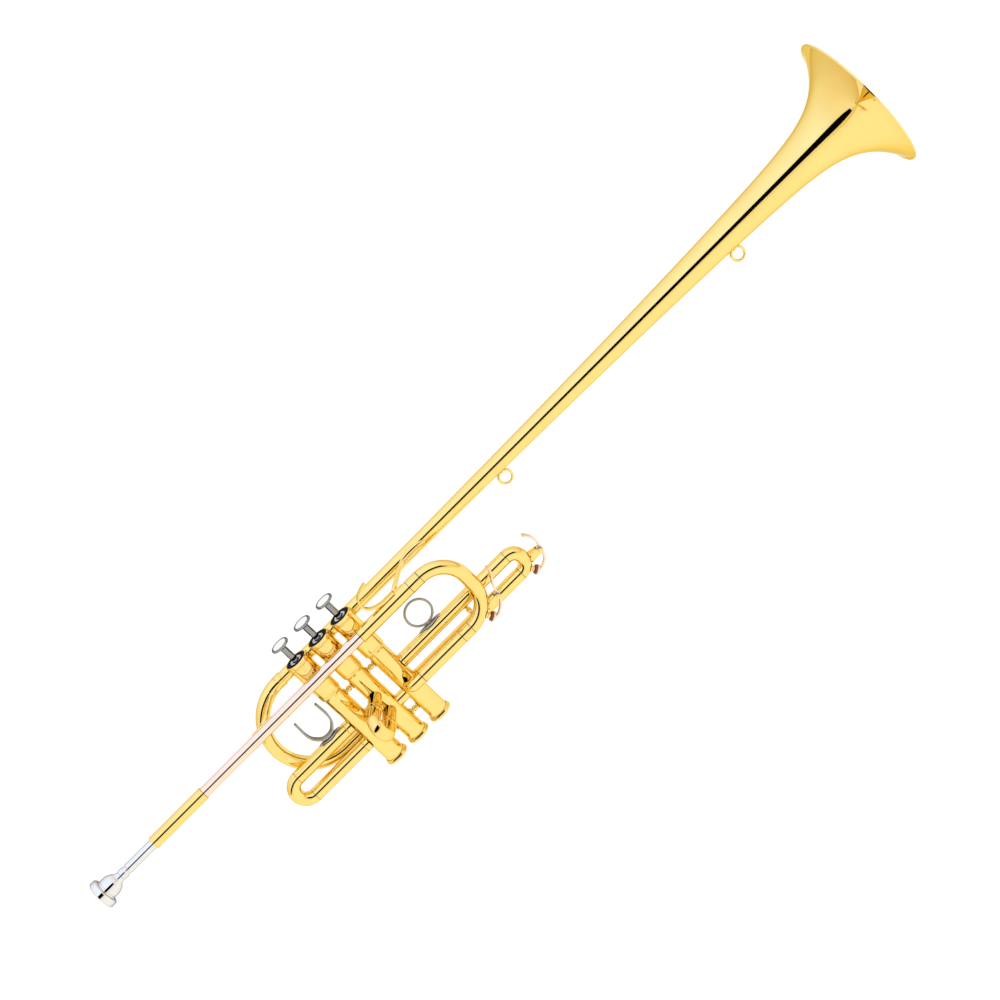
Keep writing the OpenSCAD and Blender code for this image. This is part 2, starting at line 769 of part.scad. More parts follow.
// A saddle on a bend: a foot, two ears and the pivot pin. Heights are from the bend's centre.
module key_saddle(radius, tube_r, foot_turn, pivot) {
  skin = radius + tube_r;
  base = skin - 1.2;
  difference() {
    union() {
      rotate([0, -foot_turn, 0]) translate([base, 0, 0]) rotate([0, 90, 0])
        cylinder(r = key_half + ear_thick, h = 2.6);
      for (s = [-1, 1]) translate([0, s * (key_half + ear_thick / 2) + ear_thick / 2, 0])
        rotate([90, 0, 0]) linear_extrude(ear_thick) {
          translate(pivot) circle(r = 2.2);
          polygon([
            polar(base, foot_turn - 190 / skin), polar(base, foot_turn + 190 / skin),
            pivot + polar(2.2, foot_turn + 85), pivot + polar(2.2, foot_turn - 85)
          ]);
        }
    }
    bend_xz(radius, -90, 90, 2 * tube_r + 2 * solder, 0.5);
    translate([pivot[0], 0, pivot[1]]) rotate([90, 0, 0])
      cylinder(r = pin_r + solder, h = 30, center = true);
  }
  translate([pivot[0], 0, pivot[1]]) rotate([90, 0, 0]) {
    cylinder(r = pin_r, h = 2 * (key_half + ear_thick), center = true);
    translate([0, 0, key_half + ear_thick]) cylinder(r = 1.9, h = 0.8);
  }
}

// A lever about a pivot: a curved strip, a barrel on the pin, a thumb pad and a cork holder.
module key_lever(pivot, line, pad_from, cork_turn, cork_at) {
  curve = smooth(line);
  difference() {
    union() {
      translate([0, 1.5, 0]) rotate([90, 0, 0]) linear_extrude(3) strip(curve, 1.5);
      translate([pivot[0], 0, pivot[1]]) rotate([90, 0, 0])
        cylinder(r = key_barrel_r, h = 2 * key_half - 0.4, center = true);
      translate([0, 4, 0]) rotate([90, 0, 0]) linear_extrude(8) strip(
        [for (i = [pad_from : len(curve) - 1]) curve[i]], 1.5);
      rotate([0, -cork_turn, 0]) translate([cork_at, 0, 0]) rotate([0, 90, 0]) cylinder(r = 3.4, h = 1.2);
    }
    translate([pivot[0], 0, pivot[1]]) rotate([90, 0, 0])
      cylinder(r = pin_r + 0.06, h = 30, center = true);
  }
}

module key_cork(cork_turn, from) {
  rotate([0, -cork_turn, 0]) translate([from, 0, 0]) rotate([0, 90, 0]) cylinder(r = cork_r, h = cork_h);
}

module key_spring(pivot) {
  translate([pivot[0], 3.5, pivot[1]]) rotate([90, 0, 0]) coil(key_barrel_r + 0.4, 0.21, 1.9, 3);
}

tuning_centre = [tuning_bend_x, lead_y, tuning_low_z + tuning_r];
tuning_tube_r = (tube_d + 0.2) / 2;
tuning_nipple_turn = -60.5;
tuning_nipple_top = 38;
tuning_foot_turn = -44;
tuning_pivot = [35, -23.4];
tuning_line = [
  polar(tuning_nipple_top + cork_h + 0.8, tuning_nipple_turn), [25.5, -36.5], [32.5, -31.5],
  [36.6, -24.4], [38.2, -17], [42.2, -9], [45.4, -3.6], [46.3, 1.4]
];
third_foot_turn = -21;
third_pivot = [25.3, -6.3];
third_line = [
  polar(third_nipple_top + cork_h + 0.8, third_nipple_turn), [17.8, -19.2], [23.4, -15.4],
  [26.6, -9], [27.8, -3], [28.4, 3.5], [26.6, 9.5], [23.2, 14]
];

module tuning_bow() {
  drop = -tuning_low_z;
  d = 2 * tuning_tube_r;
  color(brass) difference() {
    union() {
      translate([tuning_bend_x, lead_y, -tuning_r]) bend_xz(tuning_r, 0, 90, d, bore_d);
      translate([tuning_bend_x + tuning_r, lead_y, tuning_low_z + tuning_r])
        pipe(drop - 2 * tuning_r, d, bore_d);
      translate(tuning_centre) {
        bend_xz(tuning_r, -90, 0, d, bore_d);
        difference() {
          nipple(tuning_r, tuning_tube_r, tuning_nipple_turn, tuning_nipple_top);
          bend_xz(tuning_r, -90, 0, d - 0.4, 0.5);
        }
      }
    }
    translate(tuning_centre) nipple_hole(tuning_r, tuning_nipple_turn);
  }
}

module tuning_slide_legs() {
  color(brass) for (z = [0, tuning_low_z])
    pipe_x(z == 0 ? lead_x1 + lead_seat + 5 : 44, tuning_bend_x - solder, lead_y, z, inner_d, bore_d);
}

module tuning_ferrules() {
  color(brass) for (z = [0, tuning_low_z])
    pipe_x(tuning_x + (z == 0 ? 0.2 : 1.2), tuning_bend_x - solder, lead_y, z,
           tube_d + 0.9, inner_d + 2 * solder);
}

module tuning_key_saddle() {
  color(brass) translate(tuning_centre)
    key_saddle(tuning_r, tuning_tube_r, tuning_foot_turn, tuning_pivot);
}

module tuning_key_lever() {
  color(rose) translate(tuning_centre) key_lever(
    tuning_pivot, tuning_line, 25, tuning_nipple_turn, tuning_nipple_top + cork_h + 0.1);
}

module tuning_key_cork() {
  color("sienna") translate(tuning_centre) key_cork(tuning_nipple_turn, tuning_nipple_top + 0.08);
}

module tuning_key_spring() {
  color(nickel) translate(tuning_centre) key_spring(tuning_pivot);
}

module third_key_saddle() {
  color(brass) translate([third_end_x, 0, third_mid_z])
    key_saddle(third_r, third_sleeve_d / 2, third_foot_turn, third_pivot);
}

module third_key_lever() {
  color(rose) translate([third_end_x, 0, third_mid_z]) key_lever(
    third_pivot, third_line, 25, third_nipple_turn, third_nipple_top + cork_h + 0.1);
}

module third_key_cork() {
  color("sienna") translate([third_end_x, 0, third_mid_z])
    key_cork(third_nipple_turn, third_nipple_top + 0.08);
}

module third_key_spring() {
  color(nickel) translate([third_end_x, 0, third_mid_z]) key_spring(third_pivot);
}

// ---------------------------------------------------------------- mouthpiece

function shank_d(seat) = 9 - 0.8 * seat / mouth_seat;

module mouthpiece() {
  rim_r = mouth_rim_d / 2;
  exposed = mouth_length - mouth_seat;
  color(silver) translate([receiver_x + mouth_seat - mouth_length, lead_y, 0]) rotate([0, 90, 0])
    rotate_extrude() polygon(concat(
      [[8.4, 1.2], [9, 0.3], [10, 0], [11.2, 0.1]],
      [for (a = [75 : -15 : 0]) [rim_r - 1.6 + 1.6 * cos(a), 1.7 - 1.6 * sin(a)]],
      [[rim_r, 5.9], [rim_r - 1.2, 6.8], [9.4, 7.3], [9.1, 8.5], [9.5, 9.3]],
      [for (a = [0 : 10 : 70]) [3.4 + 6.1 * cos(a), 11.1 + 10.4 * sin(a)]],
      [[4.4, 23.4], [4.4, 25.1], [4.9, 25.7], [4.9, 29.7], [4.4, 30.3], [3.9, 31.3], [3.9, 32.7],
       [4.5, 33.5], [4.8, 34.3], [4.8, 36.5], [4.5, 37.1]],
      [[4.5, exposed], [shank_d(mouth_seat) / 2, mouth_length], [3.7, mouth_length]],
      [[3.3, 67.5], [2.2, 37.5], [1.85, 17.5], [1.85, 13.5], [2.3, 11.4]],
      [for (a = [20 : 14 : 90]) [8.1 * sin(a), 4 + 7 * cos(a)]]
    ));
}

// ---------------------------------------------------------------- assembly

mouthpiece_receiver();
leadpipe();
upper_tuning_sleeve();
lower_tuning_sleeve();
valve_casing(0);  // valve_casing_1
valve_casing(1);  // valve_casing_2
valve_casing(2);  // valve_casing_3
top_caps();
bottom_caps();
valve_felts();
valve_guides();
casing_braces();
passage_tubes();
bell_bow();
bow_ferrules();
bell_elbow();
bell_stem();
bell_flare();
banner_rings();
rear_brace();
front_brace();
finger_hook();
slide_inner_tubes();
second_slide_sleeves();
mouthpiece();
piston(0);  // piston_1
piston(1);  // piston_2
piston(2);  // piston_3
stem(0);  // stem_1
stem(1);  // stem_2
stem(2);  // stem_3
finger_button(0);  // finger_button_1
finger_button(1);  // finger_button_2
finger_button(2);  // finger_button_3
pearl(0);  // pearl_1
pearl(1);  // pearl_2
pearl(2);  // pearl_3
valve_spring(0);  // valve_spring_1
valve_spring(1);  // valve_spring_2
valve_spring(2);  // valve_spring_3
tuning_bow();
tuning_slide_legs();
tuning_ferrules();
tuning_key_saddle();
tuning_key_lever();
tuning_key_cork();
tuning_key_spring();
first_slide_sleeves();
first_slide_crook();
thumb_saddle();
second_slide_legs();
second_slide_crook();
third_slide_sleeves();
third_slide_crook();
finger_ring();
third_slide_stop();
third_key_saddle();
third_key_lever();
third_key_cork();
third_key_spring();
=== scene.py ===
"""Herald trumpet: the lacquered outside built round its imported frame, with a studio stage."""
import json
from math import copysign, cos, exp, pi, radians, sin, tan

import bmesh
import bpy
from mathutils import Matrix, Vector

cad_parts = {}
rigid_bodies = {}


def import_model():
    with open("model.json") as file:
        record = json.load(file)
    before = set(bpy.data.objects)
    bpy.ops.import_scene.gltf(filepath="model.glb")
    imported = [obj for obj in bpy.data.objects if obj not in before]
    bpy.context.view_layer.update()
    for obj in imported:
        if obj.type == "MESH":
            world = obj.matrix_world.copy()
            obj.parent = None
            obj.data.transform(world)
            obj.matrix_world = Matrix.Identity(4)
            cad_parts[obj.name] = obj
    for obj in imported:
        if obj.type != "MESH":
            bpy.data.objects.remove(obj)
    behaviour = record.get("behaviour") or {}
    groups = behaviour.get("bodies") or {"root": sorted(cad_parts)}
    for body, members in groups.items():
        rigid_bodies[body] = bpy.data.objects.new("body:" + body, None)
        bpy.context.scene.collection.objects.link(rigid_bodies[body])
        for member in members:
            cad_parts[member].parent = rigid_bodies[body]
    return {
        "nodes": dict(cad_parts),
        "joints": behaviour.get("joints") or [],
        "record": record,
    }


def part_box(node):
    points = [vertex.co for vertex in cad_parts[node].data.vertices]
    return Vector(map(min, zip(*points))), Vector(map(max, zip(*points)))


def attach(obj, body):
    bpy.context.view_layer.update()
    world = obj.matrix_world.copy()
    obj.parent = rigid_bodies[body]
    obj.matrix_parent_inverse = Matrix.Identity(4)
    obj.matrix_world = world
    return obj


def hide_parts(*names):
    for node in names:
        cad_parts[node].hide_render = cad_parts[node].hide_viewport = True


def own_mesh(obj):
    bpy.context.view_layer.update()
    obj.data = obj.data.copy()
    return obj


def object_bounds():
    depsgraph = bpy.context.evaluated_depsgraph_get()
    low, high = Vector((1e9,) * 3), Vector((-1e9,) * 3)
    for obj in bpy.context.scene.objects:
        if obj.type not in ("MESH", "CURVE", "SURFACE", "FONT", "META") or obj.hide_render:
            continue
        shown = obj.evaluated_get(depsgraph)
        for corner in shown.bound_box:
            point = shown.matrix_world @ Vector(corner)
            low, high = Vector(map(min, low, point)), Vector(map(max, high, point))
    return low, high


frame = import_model()
CAD_BOX = [list(corner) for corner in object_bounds()]

bl_info = {
    "name": "Herald trumpet",
    "version": (1, 0, 0),
    "blender": (4, 5, 0),
    "location": "3D View > Sidebar > Trumpet",
    "description": "Builds a herald trumpet's tubes, valves, slides and finishes on its frame",
    "category": "Add Mesh",
}

MM = 0.001
X, Y, Z = Vector((1, 0, 0)), Vector((0, 1, 0)), Vector((0, 0, 1))
VALVES = (1, 2, 3)
CREASE = radians(32)       # edges sharper than this stay hard
BEAD_LIP = 0.25 * MM            # how far the slides' beads stand out of their sleeves


# ---- sizes and finishes

def length(name, text, default):
    """A length property in metres."""
    return bpy.props.FloatProperty(name=name, description=text, default=default, min=0, unit="LENGTH")


def colour(name, text, default):
    """A colour property."""
    return bpy.props.FloatVectorProperty(
        name=name, description=text, default=default, size=3, min=0, max=1, subtype="COLOR")


class TRUMPET_PG_sizes(bpy.types.PropertyGroup):
    """Sizes of the metalwork that the frame's boxes don't say."""
    wall: length("Tube wall", "Thickness of the drawn tubes", 0.5 * MM)
    round_over: length("Round-over", "Radius on turned edges", 0.35 * MM)
    bell_throat: length("Bell throat", "Radius that the bell's taper starts from", 4.75 * MM)
    bell_taper: length("Bell taper", "Radius that the long taper adds at the rim", 17.8 * MM)
    taper_fade: length("Taper fade", "Length over which the long taper fades", 240 * MM)
    flare_fade: length("Flare fade", "Length over which the flare fades", 22.5 * MM)
    rim_wire: length("Rim wire", "Radius of the rolled rim", 1.1 * MM)
    bow_lean: bpy.props.FloatProperty(
        name="Bow lean", description="Lean of the bell bow towards the leadpipe",
        default=radians(3.7), subtype="ANGLE")
    tuning_bend: length("Tuning bend", "Radius of the tuning bow's two bends", 28 * MM)
    tube_radius: length("Tube radius", "Outer radius of the main tubing", 6.25 * MM)
    inner_radius: length("Inner radius", "Outer radius of the inner slide tubes", 5.75 * MM)
    ring_wire: length("Ring wire", "Radius of the banner rings' wire", 1.25 * MM)
    sides: bpy.props.IntProperty(name="Sides", description="Points round a tube", default=56, min=16)


class TRUMPET_PG_finishes(bpy.types.PropertyGroup):
    """Colours of the metals, felts and corks."""
    gold: colour("Gold lacquer", "Lacquered yellow brass", (1.0, 0.735, 0.23))
    rose: colour("Rose brass", "Lacquered rose brass", (0.97, 0.76, 0.56))
    silver: colour("Silver", "Silver plate", (0.84, 0.82, 0.77))
    nickel: colour("Nickel", "Bright nickel", (0.33, 0.33, 0.32))
    nickel_silver: colour("Nickel silver", "Finger ring and thumb saddle", (0.40, 0.37, 0.30))
    pearl: colour("Pearl", "Button inlays", (0.90, 0.90, 0.90))
    felt: colour("Felt", "Cap felts", (0.006, 0.006, 0.007))
    cork: colour("Cork", "Water key corks", (0.32, 0.10, 0.045))
    nylon: colour("Nylon", "Valve guides", (0.85, 0.82, 0.72))
    alloy: colour("Piston alloy", "Lapped pistons", (0.62, 0.61, 0.58))
    # The seam colour is partly real tarnish in the joints and partly painted shade of the dark gaps between
    # tubes and sleeves.
    seam: colour("Seams", "Tarnish where tubes meet", (0.10, 0.06, 0.02))


class TRUMPET_PG_stage(bpy.types.PropertyGroup):
    """Floor and camera."""
    elevation: bpy.props.FloatProperty(
        name="Elevation", description="Camera height above the horizon",
        default=radians(21.5), subtype="ANGLE")
    roll: bpy.props.FloatProperty(
        name="Roll", description="Turn of the camera about its line of sight",
        default=radians(45), subtype="ANGLE")
    distance: length("Distance", "Camera to the middle of the view", 2.295)
    focal: bpy.props.FloatProperty(
        name="Focal length", description="In millimetres on a 36 mm sensor", default=97.2)
    aim_ahead: length("Aim ahead", "The view's middle, ahead of the trumpet's middle", 8.9 * MM)
    aim_below: length("Aim below", "The view's middle, below the leadpipe's line", 8.8 * MM)
    floor_drop: length("Floor drop", "Floor below the lowest point", 0.45)
    floor_tint: colour("Floor", "Floor colour", (0.97, 0.97, 0.97))


def settings():
    """The scene's three property groups."""
    scene = bpy.context.scene
    return scene.trumpet_sizes, scene.trumpet_finishes, scene.trumpet_stage


# ---- curves and meshes

def fillet(points, radius, closed=False, step=radians(8)):
    """Rounds a polyline's corners with arcs of a radius, or of one radius for each point."""
    radii = radius if isinstance(radius, (list, tuple)) else [radius] * len(points)
    out = []
    for i, p in enumerate(points):
        ends = not closed and i in (0, len(points) - 1)
        a, b = points[i - 1], points[(i + 1) % len(points)]
        if ends or radii[i] == 0 or (a - p).length < 1e-9 or (b - p).length < 1e-9:
            out.append(p.copy())
            continue
        u, v = (a - p).normalized(), (b - p).normalized()
        corner = u.angle(v)
        if corner > pi - 0.02:
            out.append(p.copy())
            continue
        reach = min(radii[i] / tan(corner / 2), (a - p).length / 2, (b - p).length / 2)
        r = reach * tan(corner / 2)
        centre = p + (u + v).normalized() * (r / sin(corner / 2))
        s, e = p + u * reach - centre, p + v * reach - centre
        total = s.angle(e)
        count = max(2, round(total / step))
        for j in range(count + 1):
            t = j / count
            arm = (s * sin((1 - t) * total) + e * sin(t * total)) / sin(total)
            if not out or (centre + arm - out[-1]).length > 1e-7:
                out.append(centre + arm)
    return out


def smooth(points, steps=8):
    """A smooth curve through the points."""
    out = []
    for i in range(len(points) - 1):
        a, b = points[max(i - 1, 0)], points[i]
        c, d = points[i + 1], points[min(i + 2, len(points) - 1)]
        for s in range(steps):
            t = s / steps
            out.append(0.5 * (2 * b + (c - a) * t + (2 * a - 5 * b + 4 * c - d) * t ** 2
                              + (3 * b - a - 3 * c + d) * t ** 3))
    return out + [points[-1].copy()]


def circle(r, sides):
    """A round cross-section."""
    return [(r * cos(2 * pi * k / sides), r * sin(2 * pi * k / sides)) for k in range(sides)]


def slab(half_a, half_b, sides=20, power=0.35):
    """A rounded rectangular cross-section."""
    def soft(v):
        return copysign(abs(v) ** power, v)
    turns = [2 * pi * k / sides for k in range(sides)]
    return [(half_a * soft(cos(t)), half_b * soft(sin(t))) for t in turns]


def frames_along(path, up):
    """A pair of directions across the path at each of its points, carried along without twist."""
    across = []
    last = up
    for i in range(len(path)):
        ahead = (path[min(i + 1, len(path) - 1)] - path[max(i - 1, 0)]).normalized()
        last = (last - ahead * last.dot(ahead)).normalized()
        across.append((last, ahead.cross(last)))
    return across


def mesh_object(name, build):
    """A smooth-shaded object from a function that fills a bmesh, with hard edges kept crisp."""
    bm = bmesh.new()
    build(bm)
    bmesh.ops.remove_doubles(bm, verts=bm.verts, dist=1e-7)
    bmesh.ops.recalc_face_normals(bm, faces=bm.faces)
    for face in bm.faces:
        face.smooth = True
    for edge in bm.edges:
        if len(edge.link_faces) == 2:
            edge.smooth = edge.calc_face_angle(0) < CREASE
    data = bpy.data.meshes.new(name)
    bm.to_mesh(data)
    bm.free()
    obj = bpy.data.objects.new(name, data)
    bpy.context.collection.objects.link(obj)
    return obj


def skin_rings(bm, rings, closed=False):
    """Joins rings of vertices with faces. A ring may be one point. Open ends are capped."""
    made = [[bm.verts.new(p) for p in ring] for ring in rings]
    pairs = list(zip(made, made[1:])) + ([(made[-1], made[0])] if closed else [])
    for a, b in pairs:
        count = max(len(a), len(b))
        for k in range(count):
            n = (k + 1) % count
            corners = [a[k % len(a)], a[n % len(a)], b[n % len(b)], b[k % len(b)]]
            unique = list(dict.fromkeys(corners))
            if len(unique) > 2:
                bm.faces.new(unique)
    if not closed:
        for ring in (made[0], made[-1]):
            if len(ring) > 2:
                bm.faces.new(ring)


def sweep(bm, path, sections, up=Z):
    """Carries closed cross-sections along a path as a solid."""
    across = frames_along(path, up)
    skin_rings(bm, [[p + n * a + m * b for a, b in section]
                    for p, (n, m), section in zip(path, across, sections)])


def sweep_tube(bm, path, radii, wall, sides, up=Z):
    """A hollow tube along a path, with open ends."""
    across = frames_along(path, up)
    def ring(i, r):
        n, m = across[i]
        return [path[i] + n * a + m * b for a, b in circle(r, sides)]
    outer = [ring(i, radii[i]) for i in range(len(path))]
    inner = [ring(i, radii[i] - wall) for i in reversed(range(len(path)))]
    skin_rings(bm, outer + inner, closed=True)


def turn(bm, origin, axis, profile, sides, closed=True):
    """Turns a profile of (along, radius) about an axis, as on a lathe."""
    axis = axis.normalized()
    side = axis.orthogonal().normalized()
    other = axis.cross(side)
    rings = []
    for along, r in profile:
        middle = origin + axis * along
        if r < 1e-8:
            rings.append([middle])
        else:
            rings.append([middle + side * a + other * b for a, b in circle(r, sides)])
    skin_rings(bm, rings, closed)


def rounded_profile(points, radius, closed=True):
    """A lathe profile in metres from millimetre pairs, with its corners rounded."""
    corners = [Vector((a * MM, b * MM)) for a, b in points]
    return [tuple(p) for p in fillet(corners, radius, closed, radians(22))]


def turned(name, origin, axis, points, radius=None, sides=None, closed=True):
    """A lathe piece from millimetre pairs (along, radius)."""
    sizes = settings()[0]
    profile = rounded_profile(points, sizes.round_over if radius is None else radius, closed)
    return mesh_object(name, lambda bm: turn(bm, origin, axis, profile, sides or sizes.sides * 2, closed))


def lathe(bm, origin, axis, points, soft, sides, closed=True):
    """Adds a turned form from millimetre pairs (along, radius), its corners rounded by soft millimetres."""
    turn(bm, origin, axis, rounded_profile(points, soft * MM, closed), sides, closed)


def plate(bm, outline, y_from, y_to, bevel=0.0):
    """An outline in the X-Z plane made into a plate between two Y values, with eased edges."""
    rings = []
    middle = sum(outline, Vector((0, 0))) / len(outline)
    for y, inset in ((y_from, bevel), (y_from + bevel, 0), (y_to - bevel, 0), (y_to, bevel)):
        ring = []
        for p in outline:
            inward = (middle - p).normalized() * inset
            ring.append(Vector((p.x + inward.x, y, p.y + inward.y)))
        rings.append(ring)
    skin_rings(bm, rings)


def leaf_pad(bm, place, half_length, half_width, thick, edge_share=0.0, rows=28, columns=14):
    """A leaf-shaped soldered foot, feathered unless edge_share keeps a step. place puts each point."""
    def grid(height_of):
        out = []
        for i in range(rows + 1):
            s = -1 + 2 * i / rows
            width = half_width * max(1 - abs(s) ** 1.7, 0) ** 0.9 + 0.02 * MM
            row = []
            for j in range(columns + 1):
                q = -1 + 2 * j / columns
                row.append(place(s * half_length, q * width, height_of(s, q)))
            out.append(row)
        return out
    def dome(s, q):
        return thick * (edge_share + (1 - edge_share) * (1 - abs(q) ** 5) * (1 - abs(s) ** 7))
    top = grid(dome)
    low = grid(lambda s, q: -0.05 * MM)
    for points, flip in ((top, False), (low, True)):
        made = [[bm.verts.new(p) for p in row] for row in points]
        for i in range(rows):
            for j in range(columns):
                face = [made[i][j], made[i + 1][j], made[i + 1][j + 1], made[i][j + 1]]
                bm.faces.new(face[::-1] if flip else face)
        points[:] = made
    edge = [(i, 0) for i in range(rows)] + [(rows, j) for j in range(columns)]
    edge += [(i, columns) for i in range(rows, 0, -1)] + [(0, j) for j in range(columns, 0, -1)]
    for (a, b), (c, d) in zip(edge, edge[1:] + edge[:1]):
        bm.faces.new([top[a][b], low[a][b], low[c][d], top[c][d]])


def on_straight_tube(centre, radius, facing):
    """Places points on a tube parallel to X. facing is the angle of the pad's middle from -Y towards +Z."""
    def place(along, across, height):
        angle = facing + across / radius
        out = Vector((0, -cos(angle), sin(angle)))
        return centre + X * along + out * (radius + height)
    return place


def hand_over(obj, body, *nodes, slot="lacquered_brass", finish=None):
    """Finishes a piece, rides it on its body and hides the CAD nodes that it stands for."""
    for part in (obj, *obj.children):
        part.data.materials.append(finish_named(finish or FINISH_OF_SLOT[slot]))
    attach(obj, body)
    if nodes:
        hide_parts(*nodes)


# ---- finishes

def node_material(name):
    """A new node material with its shader and tree, or the material alone if it is already made."""
    material = bpy.data.materials.get(name)
    if material:
        return material, None, None
    material = bpy.data.materials.new(name)
    material.use_nodes = True
    tree = material.node_tree
    shader = tree.nodes["Principled BSDF"]
    return material, shader, tree


def noise_of(tree, scale, detail=4.0, stretch=(1, 1, 1)):
    """Noise in the object's own space, stretched along its axes."""
    place = tree.nodes.new("ShaderNodeTexCoord")
    mapping = tree.nodes.new("ShaderNodeMapping")
    mapping.inputs["Scale"].default_value = stretch
    texture = tree.nodes.new("ShaderNodeTexNoise")
    texture.inputs["Scale"].default_value = scale
    texture.inputs["Detail"].default_value = detail
    tree.links.new(place.outputs["Object"], mapping.inputs["Vector"])
    tree.links.new(mapping.outputs["Vector"], texture.inputs["Vector"])
    return texture.outputs["Fac"]


def spread(tree, source, low, high, start=0.3, end=0.7):
    """Spreads a value between two others."""
    node = tree.nodes.new("ShaderNodeMapRange")
    node.inputs["From Min"].default_value = start
    node.inputs["From Max"].default_value = end
    node.inputs["To Min"].default_value = low
    node.inputs["To Max"].default_value = high
    tree.links.new(source, node.inputs["Value"])
    return node.outputs["Result"]


def tint(tree, source, first, second, start=0.3, end=0.7):
    """Two colours mixed by a value."""
    ramp = tree.nodes.new("ShaderNodeValToRGB")
    ramp.color_ramp.elements[0].position = start
    ramp.color_ramp.elements[0].color = (*first, 1)
    ramp.color_ramp.elements[1].position = end
    ramp.color_ramp.elements[1].color = (*second, 1)
    tree.links.new(source, ramp.inputs["Fac"])
    return ramp.outputs["Color"]


def relief(tree, shader, source, strength, distance):
    """Raises the surface by a value."""
    bump = tree.nodes.new("ShaderNodeBump")
    bump.inputs["Strength"].default_value = strength
    bump.inputs["Distance"].default_value = distance
    tree.links.new(source, bump.inputs["Height"])
    tree.links.new(bump.outputs["Normal"], shader.inputs["Normal"])


def shaded(colour_value, share):
    """A colour made darker by a share."""
    return tuple(c * share for c in colour_value)


METALS = {  # name: colour, its share, roughness, wear, edge tint, clear coat, height of the ripple
    "gold_lacquer": ("gold", 1, 0.03, 0.97, (0.78, 0.62, 0.26), 0.12, 0.0000015),
    "rose_lacquer": ("rose", 1, 0.04, 0.96, (0.8, 0.6, 0.5), 0.12, 0.000004),
    "bright_silver": ("silver", 1, 0.03, 0.96, (0.25, 0.25, 0.26), 0, 0.000004),
    "polished_nickel": ("nickel", 1, 0.05, 0.93, (0.2, 0.2, 0.21), 0, 0.000004),
    "warm_nickel": ("nickel_silver", 1, 0.05, 0.93, (0.3, 0.27, 0.2), 0, 0.000004),
    "lapped_alloy": ("alloy", 1, 0.22, 0.88, None, 0, 0.000004),
    "raw_spring": ("silver", 0.85, 0.12, 0.8, (0.3, 0.3, 0.3), 0, 0.000004),
    # seam_shadow: painted shade of the gaps at the seams, with some real tarnish
    "seam_shadow": ("seam", 1, 0.4, 0.6, None, 0, 0.000004),
}


def polished_metal(name):
    """Buffed metal: faint tarnish clouds, fine buffing marks and, for lacquer, a clear coat."""
    material, shader, tree = node_material(name)
    if shader is None:
        return material
    hue, share, rough, wear, edge, coat, ripple = METALS[name]
    base = shaded(getattr(settings()[1], hue), share)
    clouds = noise_of(tree, 38, 5)
    tree.links.new(tint(tree, clouds, shaded(base, wear), base, 0.35, 0.6), shader.inputs["Base Color"])
    marks = noise_of(tree, 900, 3, (0.12, 1, 1))
    tree.links.new(spread(tree, marks, rough * 0.75, rough * 1.5), shader.inputs["Roughness"])
    relief(tree, shader, noise_of(tree, 130, 2), 0.25, ripple)
    shader.inputs["Metallic"].default_value = 1
    if edge:
        shader.inputs["Specular Tint"].default_value = (*edge, 1)
    shader.inputs["Coat Weight"].default_value = coat
    shader.inputs["Coat Roughness"].default_value = 0.03
    return material


def button_pearl():
    """Mother-of-pearl: layered clouds of pale tints under a hard polish."""
    material, shader, tree = node_material("button_pearl")
    if shader is None:
        return material
    pearl = settings()[1].pearl
    layers = noise_of(tree, 210, 5, (1, 2.2, 1))
    tree.links.new(tint(tree, layers, (pearl[0] * 0.86, pearl[1] * 0.9, pearl[2] * 0.93), pearl),
                   shader.inputs["Base Color"])
    shader.inputs["Roughness"].default_value = 0.14
    shader.inputs["Coat Weight"].default_value = 0.7
    shader.inputs["Thin Film Thickness"].default_value = 320
    return material


def soft_material(name, first, second, scale, rough, bump, gloss=0.5):
    """A dull, fibrous or grained stuff."""
    material, shader, tree = node_material(name)
    if shader is None:
        return material
    grain = noise_of(tree, scale, 6)
    tree.links.new(tint(tree, grain, first, second), shader.inputs["Base Color"])
    tree.links.new(spread(tree, grain, rough * 0.85, min(rough * 1.1, 1)), shader.inputs["Roughness"])
    relief(tree, shader, grain, 0.8, bump)
    shader.inputs["Specular IOR Level"].default_value = gloss
    return material


def black_felt():
    """Pressed wool felt."""
    felt = settings()[1].felt
    return soft_material("black_felt", felt, shaded(felt, 2.5), 2600, 0.95, 0.00012, 0.1)


def red_cork():
    """Stained cork, with dark pores."""
    cork = settings()[1].cork
    return soft_material("red_cork", shaded(cork, 0.45), cork, 1500, 0.75, 0.00008)


def guide_nylon():
    """Moulded nylon."""
    nylon = settings()[1].nylon
    return soft_material("guide_nylon_white", shaded(nylon, 0.92), nylon, 400, 0.4, 0.00001)


OTHER_FINISHES = {
    "button_pearl": button_pearl, "black_felt": black_felt, "guide_nylon": guide_nylon,
    "red_cork": red_cork,
}
FINISH_OF_SLOT = {
    "lacquered_brass": "gold_lacquer", "rose_brass": "rose_lacquer", "bright_nickel": "polished_nickel",
    "silver_plate": "bright_silver", "piston_alloy": "lapped_alloy", "pearl": "button_pearl",
    "felt": "black_felt", "guide_nylon": "guide_nylon", "cork": "red_cork", "spring_wire": "raw_spring",
}


def finish_named(name):
    """A finish's material, made when it is first asked for."""
    return polished_metal(name) if name in METALS else OTHER_FINISHES[name]()


class TRUMPET_OT_finishes(bpy.types.Operator):
    """Gives each frame node that stays in view the finish of its slot"""
    bl_idname = "trumpet.finishes"
    bl_label = "Frame finishes"

    def execute(self, context):
        for part in frame["record"]["subparts"]:
            node = frame["nodes"][part["node"]]
            node.data.materials.clear()
            node.data.materials.append(finish_named(FINISH_OF_SLOT[part["material_slot"]]))
        return {"FINISHED"}


# ---- places, from the frame

def middle(node):
    """The middle of a node's box."""
    low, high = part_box(node)
    return (low + high) / 2


def joint_place(name):
    """Where a joint's axis stands."""
    return Vector(next(j["pos_m"] for j in frame["joints"] if j["name"] == name))


